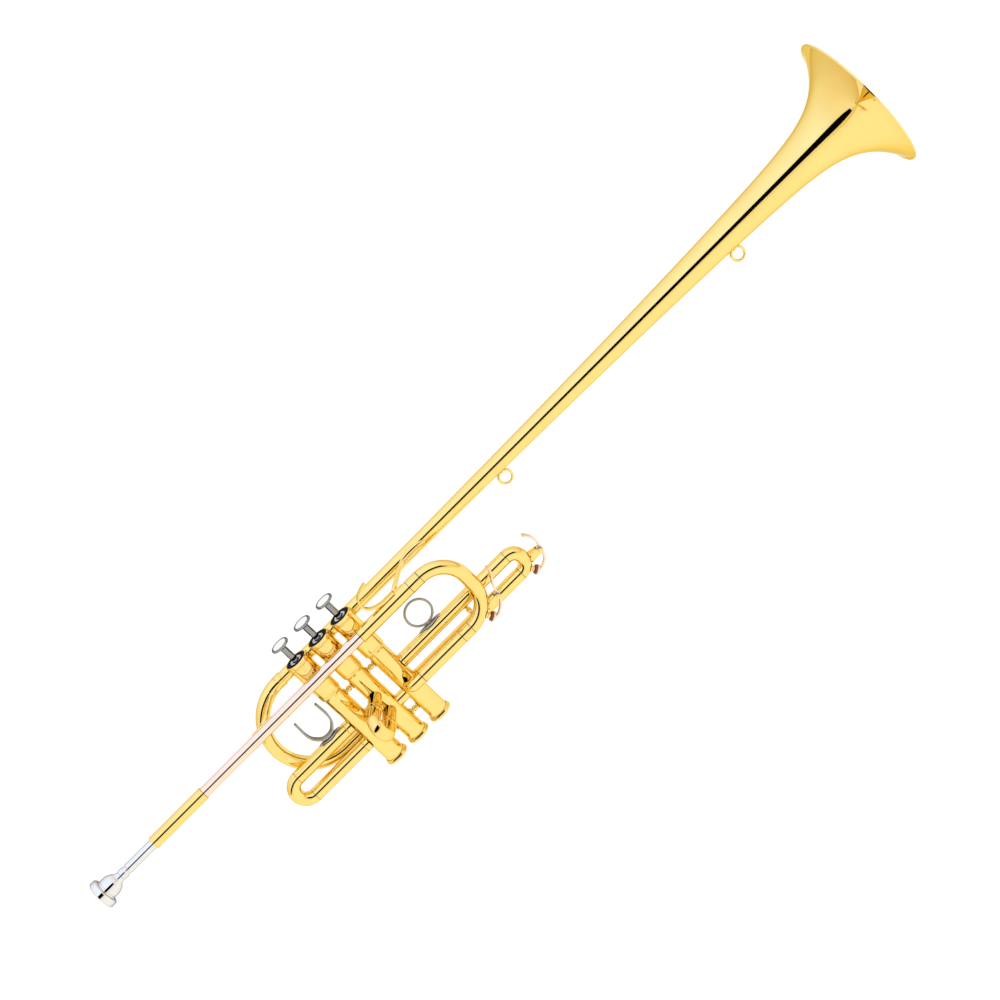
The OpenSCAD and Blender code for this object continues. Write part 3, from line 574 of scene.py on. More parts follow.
BELL_LINE = middle("bell_stem")
BELL_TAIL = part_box("bell_stem")[0].x
LEAD_LINE = middle("leadpipe")
RIM_LOW, RIM_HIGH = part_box("bell_flare")
RIM_R = (RIM_HIGH.y - RIM_LOW.y) / 2
RIM_FLAT = 0.35 * MM
VALVE_X = {n: middle(f"valve_casing_{n}").x for n in VALVES}
CASING_LOW, CASING_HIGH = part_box("valve_casing_2")
BARREL_R = (CASING_HIGH.x - CASING_LOW.x) / 2
CASING_R = 9.35 * MM
SEAM_Z = -22.5 * MM
BOW_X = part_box("bell_bow")[1].x
LOWER_FERRULE = 15.5 * MM                   # length of the bow's lower ferrule
LOWER_SLEEVE_X = 38.6 * MM                  # where the elbow under the leadpipe enters its sleeve
LEG_STARTS = (38.2 * MM, 44 * MM)           # ends of the tuning slide's legs inside their sleeves
SADDLE_X, SADDLE_Z = -54.6 * MM, -51 * MM   # middle and foot of the thumb saddle
RING_X, RING_Z, RING_R = 74.7 * MM, -28.9 * MM, 12.2 * MM
TUNING_KEY_TURNS = (-44, -60.5)             # degrees up from +X to the saddle's foot and to the cork
THIRD_KEY_TURNS = (-21, -57.8)


def valve_axis(n):
    """A place on a valve's axis."""
    return Vector((VALVE_X[n], 0, 0))


def half_width(node):
    """Half of a node's size along Y."""
    low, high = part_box(node)
    return (high.y - low.y) / 2


def tube_lines(node):
    """The Z of a pair of level tubes, upper then lower, and their outer radius."""
    low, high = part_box(node)
    radius = half_width(node)
    return high.z - radius, low.z + radius, radius


def bow_shape():
    """The bell bow's radius, the way from the bell to the bow's centre, and that centre."""
    sizes = settings()[0]
    radius = BOW_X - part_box("bell_bow")[0].x - sizes.tube_radius
    down = Vector((0, -sin(sizes.bow_lean), -cos(sizes.bow_lean)))
    return radius, down, Vector((BOW_X, BELL_LINE.y, BELL_LINE.z)) + down * radius


def lower_leg_z():
    """Z of the tuning slide's lower leg."""
    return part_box("tuning_slide_legs")[0].z + settings()[0].inner_radius


def tuning_bend_centre():
    """The centre of the tuning bow's lower bend, where its water key stands."""
    bend = settings()[0].tuning_bend
    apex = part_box("tuning_bow")[1].x - half_width("tuning_bow")
    return Vector((apex - bend, LEAD_LINE.y, lower_leg_z() + bend))


# ---- makers of common pieces

def tube_profile(x0, x1, outer, inner, bands=()):
    """Lathe points of a tube along X in millimetres, with raised bands (x, width, rise) or grooves."""
    points = [(x0, inner), (x1, inner), (x1, outer)]
    for x, width, rise in sorted(bands, reverse=True):
        points += [(x + width / 2, outer), (x + width / 2, outer + rise), (x - width / 2, outer + rise),
                   (x - width / 2, outer)]
    return points + [(x0, outer)]


def straight_tube(name, x0, x1, line, outer, inner, bands=(), soft=0.25):
    """A turned tube parallel to X, between two X values in metres."""
    origin = Vector((0, line.y, line.z))
    points = tube_profile(x0 / MM, x1 / MM, outer / MM, inner / MM, bands)
    return turned(name, origin, X, points, soft * MM)


def bent_tube(name, path, radius, up=Z):
    """A tube of one radius along a path."""
    sizes = settings()[0]
    return mesh_object(
        name, lambda bm: sweep_tube(bm, path, [radius] * len(path), sizes.wall, sizes.sides, up))


def round_bar(bm, path, radii, sides=24, up=Z):
    """A solid round bar whose radius changes along its path, with rounded ends."""
    sections = [circle(r, sides) for r in radii]
    sweep(bm, path, sections, up)


def ribbon(bm, path, half_thick, half_widths, up):
    """A strip bent along a path. up is across its thickness at the start."""
    sweep(bm, path, [slab(half_thick, w, 24) for w in half_widths], up)


def ring(bm, centre, axis, ring_r, wire_r, sides=72, wire_sides=20):
    """A wire ring about an axis."""
    axis = axis.normalized()
    side = axis.orthogonal().normalized()
    other = axis.cross(side)
    rings = []
    for k in range(sides):
        turn_angle = 2 * pi * k / sides
        out = side * cos(turn_angle) + other * sin(turn_angle)
        rings.append([centre + out * (ring_r + a) + axis * b for a, b in circle(wire_r, wire_sides)])
    skin_rings(bm, rings, closed=True)


def angles(start, stop, step):
    """Every so many degrees, in radians."""
    return [radians(a) for a in range(start, stop, step)]


def coil(bm, foot, along, side, other, radius, wire, turns, steps, sides):
    """A coil of wire from a foot, as long as along, that turns from side towards other."""
    count = turns * steps
    path = []
    for i in range(count + 1):
        t = 2 * pi * i / steps
        path.append(foot + along * (i / count) + (side * cos(t) + other * sin(t)) * radius)
    round_bar(bm, path, [wire] * len(path), sides, along.normalized())


def arc(centre, first, second, radius, start, end, step=radians(5)):
    """Points on an arc from angle start to end, measured from the first direction to the second."""
    count = max(2, round(abs(end - start) / step))
    turns = [start + (end - start) * i / count for i in range(count + 1)]
    return [centre + (first * cos(t) + second * sin(t)) * radius for t in turns]


# ---- bell

def bell_radius(back):
    """Outer radius of the bell at a distance back from its rim wire."""
    sizes = settings()[0]
    flare = RIM_R - sizes.rim_wire - sizes.bell_throat - sizes.bell_taper
    return (sizes.bell_throat + sizes.bell_taper * exp(-back / sizes.taper_fade)
            + flare * exp(-back / sizes.flare_fade))


class TRUMPET_OT_bell(bpy.types.Operator):
    """Spins the bell, from its tail to the bead rolled over the rim wire"""
    bl_idname = "trumpet.bell"
    bl_label = "Bell"

    def execute(self, context):
        sizes = settings()[0]
        wire_x = RIM_HIGH.x + RIM_FLAT - sizes.rim_wire
        whole = wire_x - BELL_TAIL
        count, nearest, crowding = 110, 0.45 * MM, 2.6
        backs = [nearest + (whole - nearest) * (i / count) ** crowding for i in range(count, -1, -1)]
        outside = [(whole - b, bell_radius(b)) for b in backs]
        bead, bead_steps, bead_start, bead_sweep = [], 24, 212, 292
        for i in range(bead_steps + 1):
            t = radians(bead_start - bead_sweep * i / bead_steps)
            along = min(whole + sizes.rim_wire * cos(t), whole + sizes.rim_wire - RIM_FLAT)
            bead.append((along, RIM_R - sizes.rim_wire + sizes.rim_wire * sin(t)))
        inside = [(a, r - sizes.wall) for a, r in reversed(outside)]
        origin = Vector((BELL_TAIL, BELL_LINE.y, BELL_LINE.z))
        profile = outside + bead + inside
        bell = mesh_object("bell_shell", lambda bm: turn(bm, origin, X, profile, 192))
        hand_over(bell, "horn", "bell_stem", "bell_flare")
        self.hang_rings()
        return {"FINISHED"}

    def hang_rings(self):
        """Two wire rings for a banner, each in a small soldered foot under the bell."""
        wire = settings()[0].ring_wire
        mounts = [m for m in frame["record"]["mounts"] if m["name"].startswith("banner_ring")]
        def build(bm):
            for mount in mounts:
                hole = mount["dims"]["r_mm"] * MM
                centre = Vector((mount["pos_m"][0], BELL_LINE.y, mount["pos_m"][2]))
                ring(bm, centre, Y, hole + wire * 0.9, wire)
                skin = bell_radius(RIM_HIGH.x - centre.x)
                top = Vector((centre.x, BELL_LINE.y, BELL_LINE.z - skin))
                foot = [(-0.6, 0), (-0.6, 2.9), (0.1, 2.8), (0.9, 1.7), (1.7, 1.4), (1.9, 0)]
                lathe(bm, top, -Z, foot, 0.2, 32)
        hand_over(mesh_object("banner_ring_pair", build), "horn", "banner_rings")


# ---- bow and leadpipe

class TRUMPET_OT_bow(bpy.types.Operator):
    """Bends the bow behind the bell, with its ferrules and the elbow into valve 1"""
    bl_idname = "trumpet.bow"
    bl_label = "Bell bow"

    def execute(self, context):
        tube_r = settings()[0].tube_radius
        bow_r, down, centre = bow_shape()
        start = Vector((BOW_X, BELL_LINE.y, BELL_LINE.z))
        bend = arc(centre, -down, -X, bow_r, 0, pi, radians(3))
        hand_over(bent_tube("bow_tube", bend, tube_r, up=Y), "horn", "bell_bow")
        end = centre + down * bow_r
        upper = straight_tube("bow_upper_ferrule", BOW_X, BELL_TAIL + 0.3 * MM, start, tube_r + 0.1 * MM,
                              tube_r - 1 * MM, [(-48, 1.4, 0.3), (-51.6, 0.7, 0.18)])
        lower = straight_tube("bow_lower_ferrule", BOW_X, BOW_X + LOWER_FERRULE, end,
                              tube_r + 0.2 * MM, tube_r - 1 * MM, [(-38.4, 1.3, 0.25), (-52, 0.8, 0.15)])
        lower.parent = upper
        hand_over(upper, "horn", "bow_ferrules")
        knee = Vector((VALVE_X[1], end.y, end.z))
        route = fillet([end + X * 2 * MM, knee, Vector((knee.x, CASING_R - 0.6 * MM, knee.z))], 8 * MM)
        hand_over(bent_tube("bell_elbow_tube", route, 5.7 * MM, up=Z), "horn", "bell_elbow")
        return {"FINISHED"}


class TRUMPET_OT_leadpipe(bpy.types.Operator):
    """Draws the leadpipe, its receiver and the fixed tuning sleeves"""
    bl_idname = "trumpet.leadpipe"
    bl_label = "Leadpipe"

    def execute(self, context):
        low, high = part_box("mouthpiece_receiver")
        outer = half_width("mouthpiece_receiver")
        receiver = straight_tube("receiver_sleeve", low.x, high.x, LEAD_LINE, outer, outer - 1.5 * MM,
                                 [((low.x / MM) + 1.6, 1.2, 0.16), ((high.x / MM) - 1.6, 1.2, 0.16)], 0.3)
        hand_over(receiver, "horn", "mouthpiece_receiver")
        low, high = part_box("leadpipe")
        thick = half_width("leadpipe")
        points = [(low.x / MM, 4.1), (high.x / MM, 5.0), (high.x / MM, thick / MM),
                  (low.x / MM, thick / MM - 0.4)]
        pipe = turned("tapered_leadpipe", Vector((0, LEAD_LINE.y, LEAD_LINE.z)), X, points)
        hand_over(pipe, "horn", "leadpipe", slot="rose_brass")
        low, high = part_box("upper_tuning_sleeve")
        outer = half_width("upper_tuning_sleeve")
        sleeve = straight_tube("upper_sleeve", low.x, high.x, LEAD_LINE, outer, outer - 0.6 * MM,
                               [(low.x / MM + 6.4, 0.35, -0.2), (low.x / MM + 1, 1.0, 0.15)])
        hand_over(sleeve, "horn", "upper_tuning_sleeve")
        self.lower_sleeve(outer)
        return {"FINISHED"}

    def lower_sleeve(self, outer):
        """The sleeve under the leadpipe and the elbow that joins it to valve 3."""
        low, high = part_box("lower_tuning_sleeve")
        line = Vector((0, LEAD_LINE.y, low.z + outer))
        start = LOWER_SLEEVE_X
        sleeve = straight_tube("lower_sleeve", start, high.x, line, outer, outer - 0.6 * MM,
                               [(start / MM + 1.2, 1.4, 0.2)])
        corner = Vector((VALVE_X[3], line.y, line.z))
        route = fillet([Vector((start, line.y, line.z)), corner,
                        Vector((corner.x, -CASING_R + 0.6 * MM, line.z))], 9.5 * MM)
        elbow = bent_tube("lower_elbow", route, 5.8 * MM)
        elbow.parent = sleeve
        hand_over(sleeve, "horn", "lower_tuning_sleeve")


# ---- mouthpiece

class TRUMPET_OT_mouthpiece(bpy.types.Operator):
    """Turns the mouthpiece: rim, cup, throat beads and shank"""
    bl_idname = "trumpet.mouthpiece"
    bl_label = "Mouthpiece"

    def execute(self, context):
        low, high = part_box("mouthpiece")
        rim = half_width("mouthpiece") / MM
        whole = (high.x - low.x) / MM
        bowl = [(4 + 7 * cos(t), 8.1 * sin(t)) for t in angles(20, 91, 7)]
        cup = [(11.1 + 10.4 * sin(t), 3.4 + 6.1 * cos(t)) for t in angles(0, 71, 7)]
        lip = [(1.7 - 1.6 * sin(t), rim - 1.6 + 1.6 * cos(t)) for t in angles(75, -1, -15)]
        points = ([(1.3, 8.4), (0.35, 9.1), (0.02, 10.1), (0.08, 11.2)] + lip
                  + [(5.9, rim), (6.9, rim - 1.3), (7.3, 9.4), (8.5, 9.1), (9.3, 9.5)] + cup
                  + [(23.4, 4.4), (25.1, 4.4), (25.7, 4.9), (29.7, 4.9), (30.3, 4.4), (31.3, 3.9),
                     (32.7, 3.9), (33.5, 4.5), (34.3, 4.8), (36.5, 4.8), (37.1, 4.5), (63.5, 4.45),
                     (whole, 4.08), (whole, 3.7), (67.5, 3.3), (37.5, 2.2), (17.5, 1.85), (13.5, 1.85),
                     (11.4, 2.3)] + bowl)
        origin = Vector((low.x, LEAD_LINE.y, LEAD_LINE.z))
        piece = turned("turned_mouthpiece", origin, X, points, 0.14 * MM)
        hand_over(piece, "mouthpiece", "mouthpiece", slot="silver_plate")
        return {"FINISHED"}


# ---- valves

class TRUMPET_OT_casings(bpy.types.Operator):
    """Turns the three valve casings, with their seams, caps and felts"""
    bl_idname = "trumpet.casings"
    bl_label = "Valve casings and caps"

    def execute(self, context):
        seam, barrel, casing = SEAM_Z / MM, BARREL_R / MM, CASING_R / MM
        low, high = CASING_LOW.z / MM, CASING_HIGH.z / MM
        for n in VALVES:
            axis = valve_axis(n)
            points = [(low, casing), (seam - 3.2, casing), (seam - 2.4, casing + 0.15),
                      (seam - 0.9, barrel - 0.1), (seam - 0.35, barrel - 0.05),
                      (seam - 0.3, barrel - 0.32), (seam + 0.15, barrel - 0.32), (seam + 0.2, barrel),
                      (seam + 1.5, barrel), (seam + 1.55, barrel - 0.2), (seam + 1.95, barrel - 0.2),
                      (seam + 2, barrel), (high, barrel), (high, barrel - 1.4), (seam, barrel - 1.4),
                      (seam, casing - 0.85), (low, casing - 0.85)]
            hand_over(turned(f"casing_{n}", axis, Z, points, 0.16 * MM), "horn", f"valve_casing_{n}")
        self.fit_caps()
        return {"FINISHED"}

    def fit_caps(self):
        """Top caps with a felt and a stem washer in each, and bottom caps with a vent."""
        cap_r = half_width("top_caps") / MM
        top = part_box("top_caps")[1].z / MM
        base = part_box("bottom_caps")[0].z / MM
        upper = [(top - 4.5, 3.4), (top - 4.5, cap_r - 0.5), (top - 4.2, cap_r - 0.1), (top - 3.3, cap_r),
                 (top - 3.2, cap_r - 0.35), (top - 2.8, cap_r - 0.35), (top - 2.7, cap_r),
                 (top - 0.7, cap_r), (top - 0.05, cap_r - 0.45), (top, cap_r - 0.9),
                 (top - 0.9, cap_r - 1.1), (top - 1, 3.4)]
        lower = [(base, 1.5), (base, cap_r - 1.2), (base + 0.6, cap_r - 0.15), (base + 1.9, cap_r),
                 (base + 2.3, cap_r - 0.4), (base + 2.6, cap_r - 0.25), (base + 3.9, cap_r - 0.8),
                 (base + 4.4, cap_r - 1.6), (base + 1.6, cap_r - 1.7), (base + 1.5, 1.5)]
        felt = [(top - 1, 6.1), (top - 1, cap_r - 1.15), (top + 0.1, cap_r - 1.2),
                (top + 0.45, cap_r - 2.2), (top + 0.4, 6.9), (top + 0.1, 6.15)]
        def build(points, radius):
            def fill(bm):
                for n in VALVES:
                    lathe(bm, valve_axis(n), Z, points, radius, 96)
            return fill
        hand_over(mesh_object("cap_tops", build(upper, 0.14)), "horn", "top_caps")
        hand_over(mesh_object("cap_bottoms", build(lower, 0.16)), "horn", "bottom_caps")
        hand_over(mesh_object("cap_felts", build(felt, 0.3)), "horn", "valve_felts", slot="felt")
        washer = [(top - 0.95, 3.4), (top - 0.95, 6), (top - 0.1, 5.9), (top + 0.1, 5.5), (top - 0.1, 3.5)]
        washers = mesh_object("stem_washers", build(washer, 0.12))
        hand_over(washers, "horn", slot="bright_nickel", finish="bright_silver")


class TRUMPET_OT_buttons(bpy.types.Operator):
    """Turns the stems and finger buttons, and domes their pearls"""
    bl_idname = "trumpet.buttons"
    bl_label = "Stems, buttons and pearls"

    def execute(self, context):
        for n in VALVES:
            body = f"valve_{n}"
            axis = valve_axis(n)
            low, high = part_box(f"stem_{n}")
            foot, top = low.z / MM, high.z / MM
            stem = [(foot, 0), (foot, 2.1), (foot + 2.4, 2.15), (foot + 2.5, 3), (top - 1.6, 3),
                    (top - 0.9, 3.35), (top, 3.8), (top, 0)]
            piece = turned(f"stem_rod_{n}", axis, Z, stem, 0.2 * MM, closed=False)
            hand_over(piece, body, f"stem_{n}", slot="bright_nickel")
            low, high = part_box(f"finger_button_{n}")
            r = half_width(f"finger_button_{n}") / MM
            base, face = low.z / MM, high.z / MM
            button = [(base, 0), (base, r - 4.6), (base + 0.2, r - 2.8), (base + 0.6, r - 0.8),
                      (base + 1.1, r), (face - 0.5, r), (face, r - 0.5), (face, r - 0.9), (face - 0.3, 7),
                      (face - 0.9, 6.95), (face - 1, 0)]
            piece = turned(f"button_{n}", axis, Z, button, 0.22 * MM, closed=False)
            hand_over(piece, body, f"finger_button_{n}", slot="bright_nickel")
            dome = [(face - 0.98, 0), (face - 0.98, 6.8)]
            dome += [(face - 0.35 + 0.33 * cos(t), 6.8 * sin(t)) for t in angles(90, -1, -9)]
            piece = turned(f"pearl_dome_{n}", axis, Z, dome, 0.05 * MM, closed=False)
            hand_over(piece, body, f"pearl_{n}", slot="pearl")
        return {"FINISHED"}


class TRUMPET_OT_valve_springs(bpy.types.Operator):
    """Winds the return springs that stand on the valve guides"""
    bl_idname = "trumpet.valve_springs"
    bl_label = "Valve springs"

    def execute(self, context):
        for n in VALVES:
            low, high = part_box(f"valve_spring_{n}")
            spring = mesh_object(f"return_spring_{n}", lambda bm: self.wind(bm, low, high))
            hand_over(spring, f"valve_{n}", f"valve_spring_{n}", slot="spring_wire")
            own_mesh(spring)
        return {"FINISHED"}

    def wind(self, bm, low, high):
        """A coil that fills the box."""
        wire = 0.45 * MM
        foot = Vector(((low.x + high.x) / 2, (low.y + high.y) / 2, low.z + wire))
        rise = Z * (high.z - low.z - 2 * wire)
        coil(bm, foot, rise, X, Y, (high.y - low.y) / 2 - wire, wire, 8, 20, 12)


class TRUMPET_OT_spacers(bpy.types.Operator):
    """Turns the beaded spacers that tie the casings together"""
    bl_idname = "trumpet.spacers"
    bl_label = "Casing spacers"

    def execute(self, context):
        low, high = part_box("casing_braces")
        half = (VALVE_X[2] - VALVE_X[1]) / 2 - CASING_R
        bead = 3.3 * MM
        heights = (high.z - bead, low.z + bead)
        end = half / MM + 0.15
        points = [(-end, 0), (-end, 3.3), (-end + 1.1, 3.2), (-end + 1.3, 1.9), (-1.9, 1.7), (-1.5, 2.5),
                  (0, 2.8), (1.5, 2.5), (1.9, 1.7), (end - 1.3, 1.9), (end - 1.1, 3.2), (end, 3.3),
                  (end, 0)]
        def build(bm):
            for a, b in ((1, 2), (2, 3)):
                for z in heights:
                    place = Vector(((VALVE_X[a] + VALVE_X[b]) / 2, 0, z))
                    lathe(bm, place, X, points, 0.3, 40, False)
        hand_over(mesh_object("beaded_spacers", build), "horn", "casing_braces")
        return {"FINISHED"}


# ---- braces and hook

def foot_on_tube(bm, line, radius, facing, length_mm, width_mm, thick=1.05 * MM):
    """A leaf-shaped foot on a tube parallel to X. facing turns its middle from -Y towards +Z."""
    leaf_pad(bm, on_straight_tube(line, radius, facing), length_mm / 2 * MM, width_mm / 2 * MM, thick)


def on_bow(middle_x):
    """Places points on the near side of the bow's upper end, round an X near where it starts to bend."""
    tube_r = settings()[0].tube_radius
    bow_r, down, centre = bow_shape()
    raised = radians(14)
    def place(along, across, height):
        past = BOW_X - middle_x - along
        bent = max(past, 0) / bow_r
        radial = -down * cos(bent) - X * sin(bent)
        lift = raised + across / tube_r
        out = radial.cross(Y).cross(radial) * -cos(lift) + radial * sin(lift)
        return centre - X * min(past, 0) + radial * bow_r + out * (tube_r + height)
    return place


class TRUMPET_OT_braces(bpy.types.Operator):
    """Bends the two braces between leadpipe and bell, and the little-finger hook"""
    bl_idname = "trumpet.braces"
    bl_label = "Braces and hook"

    def execute(self, context):
        sleeve_r = half_width("upper_tuning_sleeve")
        lead = Vector((0, LEAD_LINE.y, LEAD_LINE.z))
        bell = Vector((0, BELL_LINE.y, BELL_LINE.z))
        stem_r = bell_radius(RIM_HIGH.x - 108 * MM)

        def front(bm):
            path = smooth([Vector((x * MM, y * MM, z * MM)) for x, y, z in (
                (73, LEAD_LINE.y / MM + 2.6, 6.2), (77.5, LEAD_LINE.y / MM + 7.4, 7.4),
                (85, -0.5, 8.9), (92, 7.2, 9.8), (99, 10.1, 9.9), (110, 10.5, 9.9), (122, 10.7, 9.9))])
            last = len(path) - 1
            radii = [(2.15 - 1.45 * (i / last) ** 3) * MM for i in range(last + 1)]
            round_bar(bm, path, radii)
            foot_on_tube(bm, bell + X * 107 * MM, stem_r, 0, 34, 10.5, 1.3 * MM)
            foot_on_tube(bm, lead + X * 75 * MM, sleeve_r, radians(130), 17, 9)
        hand_over(mesh_object("front_brace_rod", front), "horn", "front_brace")

        def rear(bm):
            pipe_r = half_width("leadpipe") - 0.15 * MM
            path = smooth([Vector((x * MM, y * MM, z * MM)) for x, y, z in (
                (-84, LEAD_LINE.y / MM + 2.4, 5.0), (-78.5, LEAD_LINE.y / MM + 6.8, 5.6), (-70, 1.2, 7.2),
                (-63.5, 8.6, 8.6), (-57.5, 11.4, 9.0))])
            round_bar(bm, path, [2.1 * MM] * len(path))
            foot_on_tube(bm, lead + X * -85 * MM, pipe_r, radians(130), 26, 8.5)
            leaf_pad(bm, on_bow(-56.8 * MM), 6.8 * MM, 4.8 * MM, 1.5 * MM, 0.85)
        hand_over(mesh_object("rear_brace_rod", rear), "horn", "rear_brace")
        self.bend_hook(sleeve_r)
        return {"FINISHED"}

    def bend_hook(self, sleeve_r):
        """A tapered strip that lies on the sleeve, curls up and ends in a lip."""
        thick = 0.95 * MM
        base = sleeve_r / MM + 0.97
        line = [(73, base), (66, base), (60.5, base + 0.15), (53.5, base + 1.9), (48.2, base + 5.6),
                (46.1, base + 11.2), (47.3, base + 16.6), (51.6, base + 20.6), (57, base + 22.9),
                (62, base + 24.2)]
        path = smooth([Vector((x * MM, LEAD_LINE.y, z * MM)) for x, z in line], 8)
        last = len(path) - 1
        widths = [(3.6 - 1.3 * (i / last) ** 2) * MM for i in range(last + 1)]
        hook = mesh_object("hook_strip", lambda bm: ribbon(bm, path, thick, widths, Z))
        hand_over(hook, "horn", "finger_hook")


# ---- slides

def crook_path(centre, out, radius, step=radians(4)):
    """A half turn from the upper line to the lower one, bulging along out."""
    return arc(centre, Z, out, radius, 0, pi, step)


def pair_of_tubes(name, x0, x1, heights, outer, inner, bands):
    """Two level turned tubes in one piece."""
    points = tube_profile(x0 / MM, x1 / MM, outer / MM, inner / MM, bands)
    def build(bm):
        for z in heights:
            lathe(bm, Vector((0, 0, z)), X, points, 0.25, 96)
    return mesh_object(name, build)


class TRUMPET_OT_first_slide(bpy.types.Operator):
    """Builds the first slide: sleeves, crook and thumb saddle"""
    bl_idname = "trumpet.first_slide"
    bl_label = "First slide"

    def execute(self, context):
        upper, lower, outer = tube_lines("first_slide_crook")
        start_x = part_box("first_slide_sleeves")[1].x
        sleeve_r = half_width("first_slide_sleeves") - BEAD_LIP
        end_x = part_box("first_slide_crook")[1].x
        bands = [(start_x / MM - 0.9, 1.5, 0.25), (end_x / MM + 1.0, 0.3, -0.18)]
        sleeves = pair_of_tubes(
            "first_sleeves", end_x, start_x, (upper, lower), sleeve_r, sleeve_r - 0.45 * MM, bands)
        hand_over(sleeves, "first_slide", "first_slide_sleeves")
        centre = Vector((end_x, 0, (upper + lower) / 2))
        crook = bent_tube("first_crook", crook_path(centre, -X, (upper - lower) / 2), outer, up=Y)
        hand_over(crook, "first_slide", "first_slide_crook")
        self.bend_saddle(upper, sleeve_r)
        return {"FINISHED"}

    def bend_saddle(self, tube_z, tube_r):
        """The U-shaped thumb saddle on its leaf foot."""
        half = [(12.2, 29.7), (12.6, 22), (12.6, 15.5), (11.3, 9.2), (8, 4.6), (4.4, 1.7), (0, 1)]
        line = [(-a, b) for a, b in half] + half[-2::-1]
        whole = smooth([Vector((SADDLE_X + a * MM, 0, SADDLE_Z + b * MM)) for a, b in line], 6)
        last = len(whole) - 1
        widths = [(3.5 - 0.9 * abs(2 * i / last - 1) ** 3) * MM for i in range(last + 1)]
        def build(bm):
            ribbon(bm, whole, 1 * MM, widths, X)
            foot_on_tube(bm, Vector((SADDLE_X, 0, tube_z)), tube_r, pi / 2, 25, 10)
            post = [(-0.3, 0), (-0.3, 3.6), (0.5, 2.6), (1.4, 2.9), (1.5, 0)]
            lathe(bm, Vector((SADDLE_X, 0, tube_z + tube_r)), Z, post, 0.2, 32, False)
        saddle = mesh_object("thumb_saddle_strip", build)
        hand_over(saddle, "first_slide", "thumb_saddle", slot="bright_nickel", finish="warm_nickel")


class TRUMPET_OT_inner_tubes(bpy.types.Operator):
    """Draws the fixed tubes that the first and third slides run on, with their collars"""
    bl_idname = "trumpet.inner_tubes"
    bl_label = "Inner slide tubes"

    def execute(self, context):
        first = tube_lines("first_slide_crook")[:2]
        third = tube_lines("third_slide_sleeves")[:2]
        inner, collar = settings()[0].inner_radius, 6.55
        low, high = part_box("slide_inner_tubes")
        root, gap = CASING_R - 0.8 * MM, 0.25 * MM
        ends = ((VALVE_X[1] - root, low.x, first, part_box("first_slide_sleeves")[1].x + gap),
                (VALVE_X[3] + root, high.x, third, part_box("third_slide_sleeves")[0].x - gap))
        def build(bm):
            for start, end, heights, collar_end in ends:
                side = 1 if end > start else -1
                reach, width = (abs(v - start) / MM for v in (end, collar_end))
                points = [(0, inner / MM - 0.5), (reach, inner / MM - 0.5), (reach, inner / MM),
                          (width, inner / MM), (width, collar - 0.05), (width - 0.5, collar),
                          (width - 0.9, collar - 0.3), (0, collar - 0.35)]
                for z in heights:
                    lathe(bm, Vector((start, 0, z)), X * side, points, 0.15, 96)
        hand_over(mesh_object("inner_tubes_with_collars", build), "horn", "slide_inner_tubes")
        return {"FINISHED"}


class TRUMPET_OT_second_slide(bpy.types.Operator):
    """Builds the second slide, which points at the player's right"""
    bl_idname = "trumpet.second_slide"
    bl_label = "Second slide"

    def execute(self, context):
        joint = next(j for j in frame["joints"] if j["name"] == "second_slide_pull")
        out = Vector(joint["axis"]).normalized()
        low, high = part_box("second_slide_crook")
        outer = settings()[0].tube_radius - 0.1 * MM
        heights = (high.z - outer, low.z + outer)
        bend_start, sleeve_end, ferrule_end = 40.5, 27, 31.7
        def tubes(bm, points, soft):
            for z in heights:
                lathe(bm, Vector((0, 0, z)), out, points, soft, 96)
        r = settings()[0].tube_radius / MM
        sleeve = tube_profile(7.6, sleeve_end, r, r - 0.45, [(sleeve_end - 1.1, 1.8, 0.35)])
        piece = mesh_object("second_sleeves", lambda bm: tubes(bm, sleeve, 0.2))
        hand_over(piece, "horn", "second_slide_sleeves")
        leg = tube_profile(11, 34.5, r - 0.5, r - 0.85)
        ferrule = tube_profile(sleeve_end + 0.2, ferrule_end, r + 0.25, r - 0.5,
                               [(ferrule_end - 0.8, 0.8, 0.2)])
        def legs(bm):
            tubes(bm, leg, 0.1)
            tubes(bm, ferrule, 0.2)
        hand_over(mesh_object("second_legs", legs), "second_slide", "second_slide_legs")
        mid = (heights[0] + heights[1]) / 2
        turn_path = crook_path(out * bend_start * MM + Z * mid, out, (heights[0] - heights[1]) / 2)
        inside = out * ferrule_end * MM
        path = [inside + Z * heights[0]] + turn_path + [inside + Z * heights[1]]
        crook = bent_tube("second_crook", path, outer, up=out.cross(Z))
        hand_over(crook, "second_slide", "second_slide_crook")
        return {"FINISHED"}


def nipple(bm, centre, toward, skin, top, radius=3.0):
    """A drain nipple on a bend, from the bend's centre out."""
    points = [(skin - 1.2, radius - 1.4), (skin - 1.2, radius + 0.5), (skin + 0.4, radius + 0.1),
              (skin + 0.9, radius - 0.4), (top - 0.4, radius - 0.5), (top, radius - 0.8),
              (top, radius - 1.7)]
    lathe(bm, centre, toward, points, 0.15, 40)


def toward_turn(degrees_up):
    """A direction in the X-Z plane, at an angle up from +X."""
    a = radians(degrees_up)
    return Vector((cos(a), 0, sin(a)))


